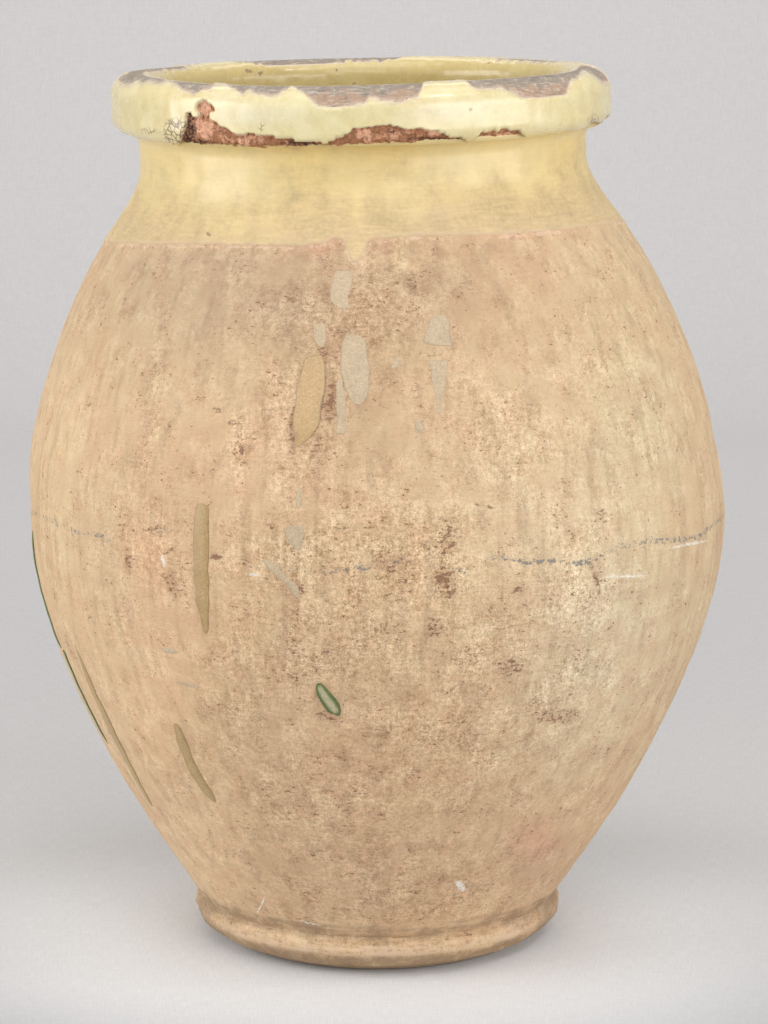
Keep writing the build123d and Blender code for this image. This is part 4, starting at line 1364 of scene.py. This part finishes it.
# Between these heights a drip's colour turns into the one that it has on the shoulder
SHOULDER = (400 * MM, 450 * MM)


def drip_finish(name, glaze, roughness):
    """A drip's glaze: a body, another colour along its middle and a darker outline, with
    more of a fourth colour on the shoulder."""
    body, middle, rim, upper = glaze
    f = Finish(name)
    patch, mottle = f.noise(160, 3, 0.65), f.noise(700, 3, 0.7)
    edge = f.mark("edge")
    high = f.part(f.place, "Z").step(*SHOULDER)
    colour = f.mix((edge + (patch - 0.5) * 0.5).step(0.75, 0.2), body, middle)
    colour = f.mix(high * 0.7, colour, upper)
    colour = f.mix((edge + (mottle - 0.5) * 0.12).step(0.86, 0.97) * 0.8, colour, rim)
    colour = f.shade(colour, 1 + (mottle - 0.5) * 1.0 + (patch - 0.5) * 0.4)
    rough = roughness + (patch - 0.5) * 0.2
    return f.finish(colour, rough, patch + mottle * 0.3, 0.3 * MM, Specular_IOR_Level=0.5)


# The backdrop's far and near ends, its height, the radius of its bend, and its half width
FAR, NEAR, TALL, BEND, HALF = 3.4, -3.4, 3.2, 1.2, 3.4
BEND_ROWS, STAGE_COLUMNS = 24, 9


def stage():
    """A pale floor that curves up through a quarter circle into a plain backdrop, all
    one sheet, with a faint weave, a painted shade that changes with the depth to even out
    the lamps' light, and painted light round the foot that lifts the jar's shadow."""
    f = Finish("backdrop")
    weave = f.drawn_noise((1500, 60, 60), 2, 0.5) + f.drawn_noise((60, 1500, 1500), 2, 0.5)
    depth = f.part(f.place, "Y")
    # Painted shade: the tone changes with depth, darkest near the camera, to even out the lamps' light
    shade = f.mix(depth.step(-0.5, 0.2), SHADED_FLOOR_NEAR, FLOOR_MIDDLE)
    shade = f.mix(depth.step(0.2, 0.75), shade, FLOOR_BEHIND)
    shade = f.mix(depth.step(0.8, 2.4), shade, BACKDROP)
    away = f.vector("LENGTH", f.place, out="Value")
    # Painted light: the floor round the foot is paler and bluer to lift the jar's shadow
    shade = f.mix(away.step(0.42, 0.13) * depth.step(0.3, 0.0), shade, FLOOR_LIT_AT_FOOT)
    colour = f.shade(shade, 1 + (weave - 1) * 0.25)
    material = f.finish(colour, 0.95, weave, 0.05 * MM, Specular_IOR_Level=0.1)
    turn = np.linspace(0, math.pi / 2, BEND_ROWS)
    y = np.concatenate([[NEAR], FAR - BEND + BEND * np.sin(turn), [FAR]])[:, None]
    z = np.concatenate([[0], BEND - BEND * np.cos(turn), [TALL]])[:, None]
    across = np.linspace(-HALF, HALF, STAGE_COLUMNS)
    points = np.stack(np.broadcast_arrays(across, y, z), -1).reshape(-1, 3)
    index = np.arange(len(points)).reshape(len(y), STAGE_COLUMNS)
    quads = np.stack([index[:-1, :-1], index[:-1, 1:], index[1:, 1:], index[1:, :-1]], -1).reshape(-1, 4)
    mesh = bpy.data.meshes.new("backdrop")
    mesh.from_pydata(points.tolist(), [], quads.tolist())
    mesh.polygons.foreach_set("use_smooth", np.ones(len(quads), bool))
    mesh.materials.append(material)
    floor = bpy.data.objects.new("backdrop", mesh)
    bpy.context.scene.collection.objects.link(floor)


ROOM_COLOUR = (0.96, 0.97, 1.0, 1)
ROOM_STRENGTH = 0.435


def soft_light(name, place, aim, width, height, power):
    """A large rectangular lamp that looks at a point."""
    lamp = bpy.data.lights.new(name, "AREA")
    lamp.shape, lamp.size, lamp.size_y, lamp.energy = "RECTANGLE", width, height, power
    body = bpy.data.objects.new(name, lamp)
    bpy.context.scene.collection.objects.link(body)
    body.location = place
    way = Vector(aim) - Vector(place)
    body.rotation_euler = way.to_track_quat("-Z", "Y").to_euler()


def lights():
    """Soft boxes at the left and the right, above the jar and above the camera, one for
    the backdrop, a small lamp high at the right, and a pale room."""
    soft_light("left_box", (-2.6, -0.75, 0.95), (0, 0, 0.5), 1.8, 1.9, 42)
    soft_light("right_box", (2.1, -1.7, 0.8), (0, 0, 0.5), 3.2, 1.2, 40)
    soft_light("top_box", (0, -0.7, 2.9), (0, -0.2, 0), 2.4, 2.2, 28)
    soft_light("front_box", (0, -2.3, 1.9), (0, 0, 0.1), 1.8, 0.8, 9)
    soft_light("back_box", (0, 1.7, 3.0), (0, 3.2, 0.3), 3.0, 1.2, 34)
    soft_light("lamp", (1.7, -1.5, 3.4), (0, 0, 0.6), 0.35, 0.35, 9)
    world = bpy.data.worlds.new("room")
    world.use_nodes = True
    room = world.node_tree.nodes["Background"]
    room.inputs["Color"].default_value = ROOM_COLOUR
    room.inputs["Strength"].default_value = ROOM_STRENGTH
    bpy.context.scene.world = world
    bpy.context.scene.view_settings.view_transform = "Standard"


def camera():
    """The camera at the photograph's place, angle and focal length."""
    lens = bpy.data.cameras.new("photo_camera")
    lens.sensor_width = SENSOR
    lens.lens = FOCAL * SENSOR / PHOTO_HEIGHT
    body = bpy.data.objects.new("photo_camera", lens)
    body.location = EYE
    body.rotation_euler = (PITCH, 0, 0)
    bpy.context.scene.collection.objects.link(body)
    bpy.context.scene.camera = body


camera()
lights()
stage()
CLAY = clay_finish()
lower_wall(CLAY)
joint_slip(CLAY)
upper_wall(CLAY)
foot_roll(CLAY)
rim_roll(rim_clay_finish())
rim_glaze(rim_glaze_finish())
collar_glaze(collar_finish())
drips("ochre_drips", "ochre_glaze", "ochre_runs", drip_finish("ochre_drips", OCHRE_GLAZE, 0.42),
      1.0 * MM, OCHRE_PATHS, OCHRE_EDGE_PATHS)
drips("green_drips", "green_glaze", "green_runs", drip_finish("green_drips", GREEN_GLAZE, 0.15),
      1.3 * MM, GREEN_PATHS, GREEN_EDGE_PATHS)
drips("clear_drips", "grey_glaze", "clear_runs", drip_finish("clear_drips", GREY_GLAZE, 0.4),
      0.35 * MM, CLEAR_PATHS)
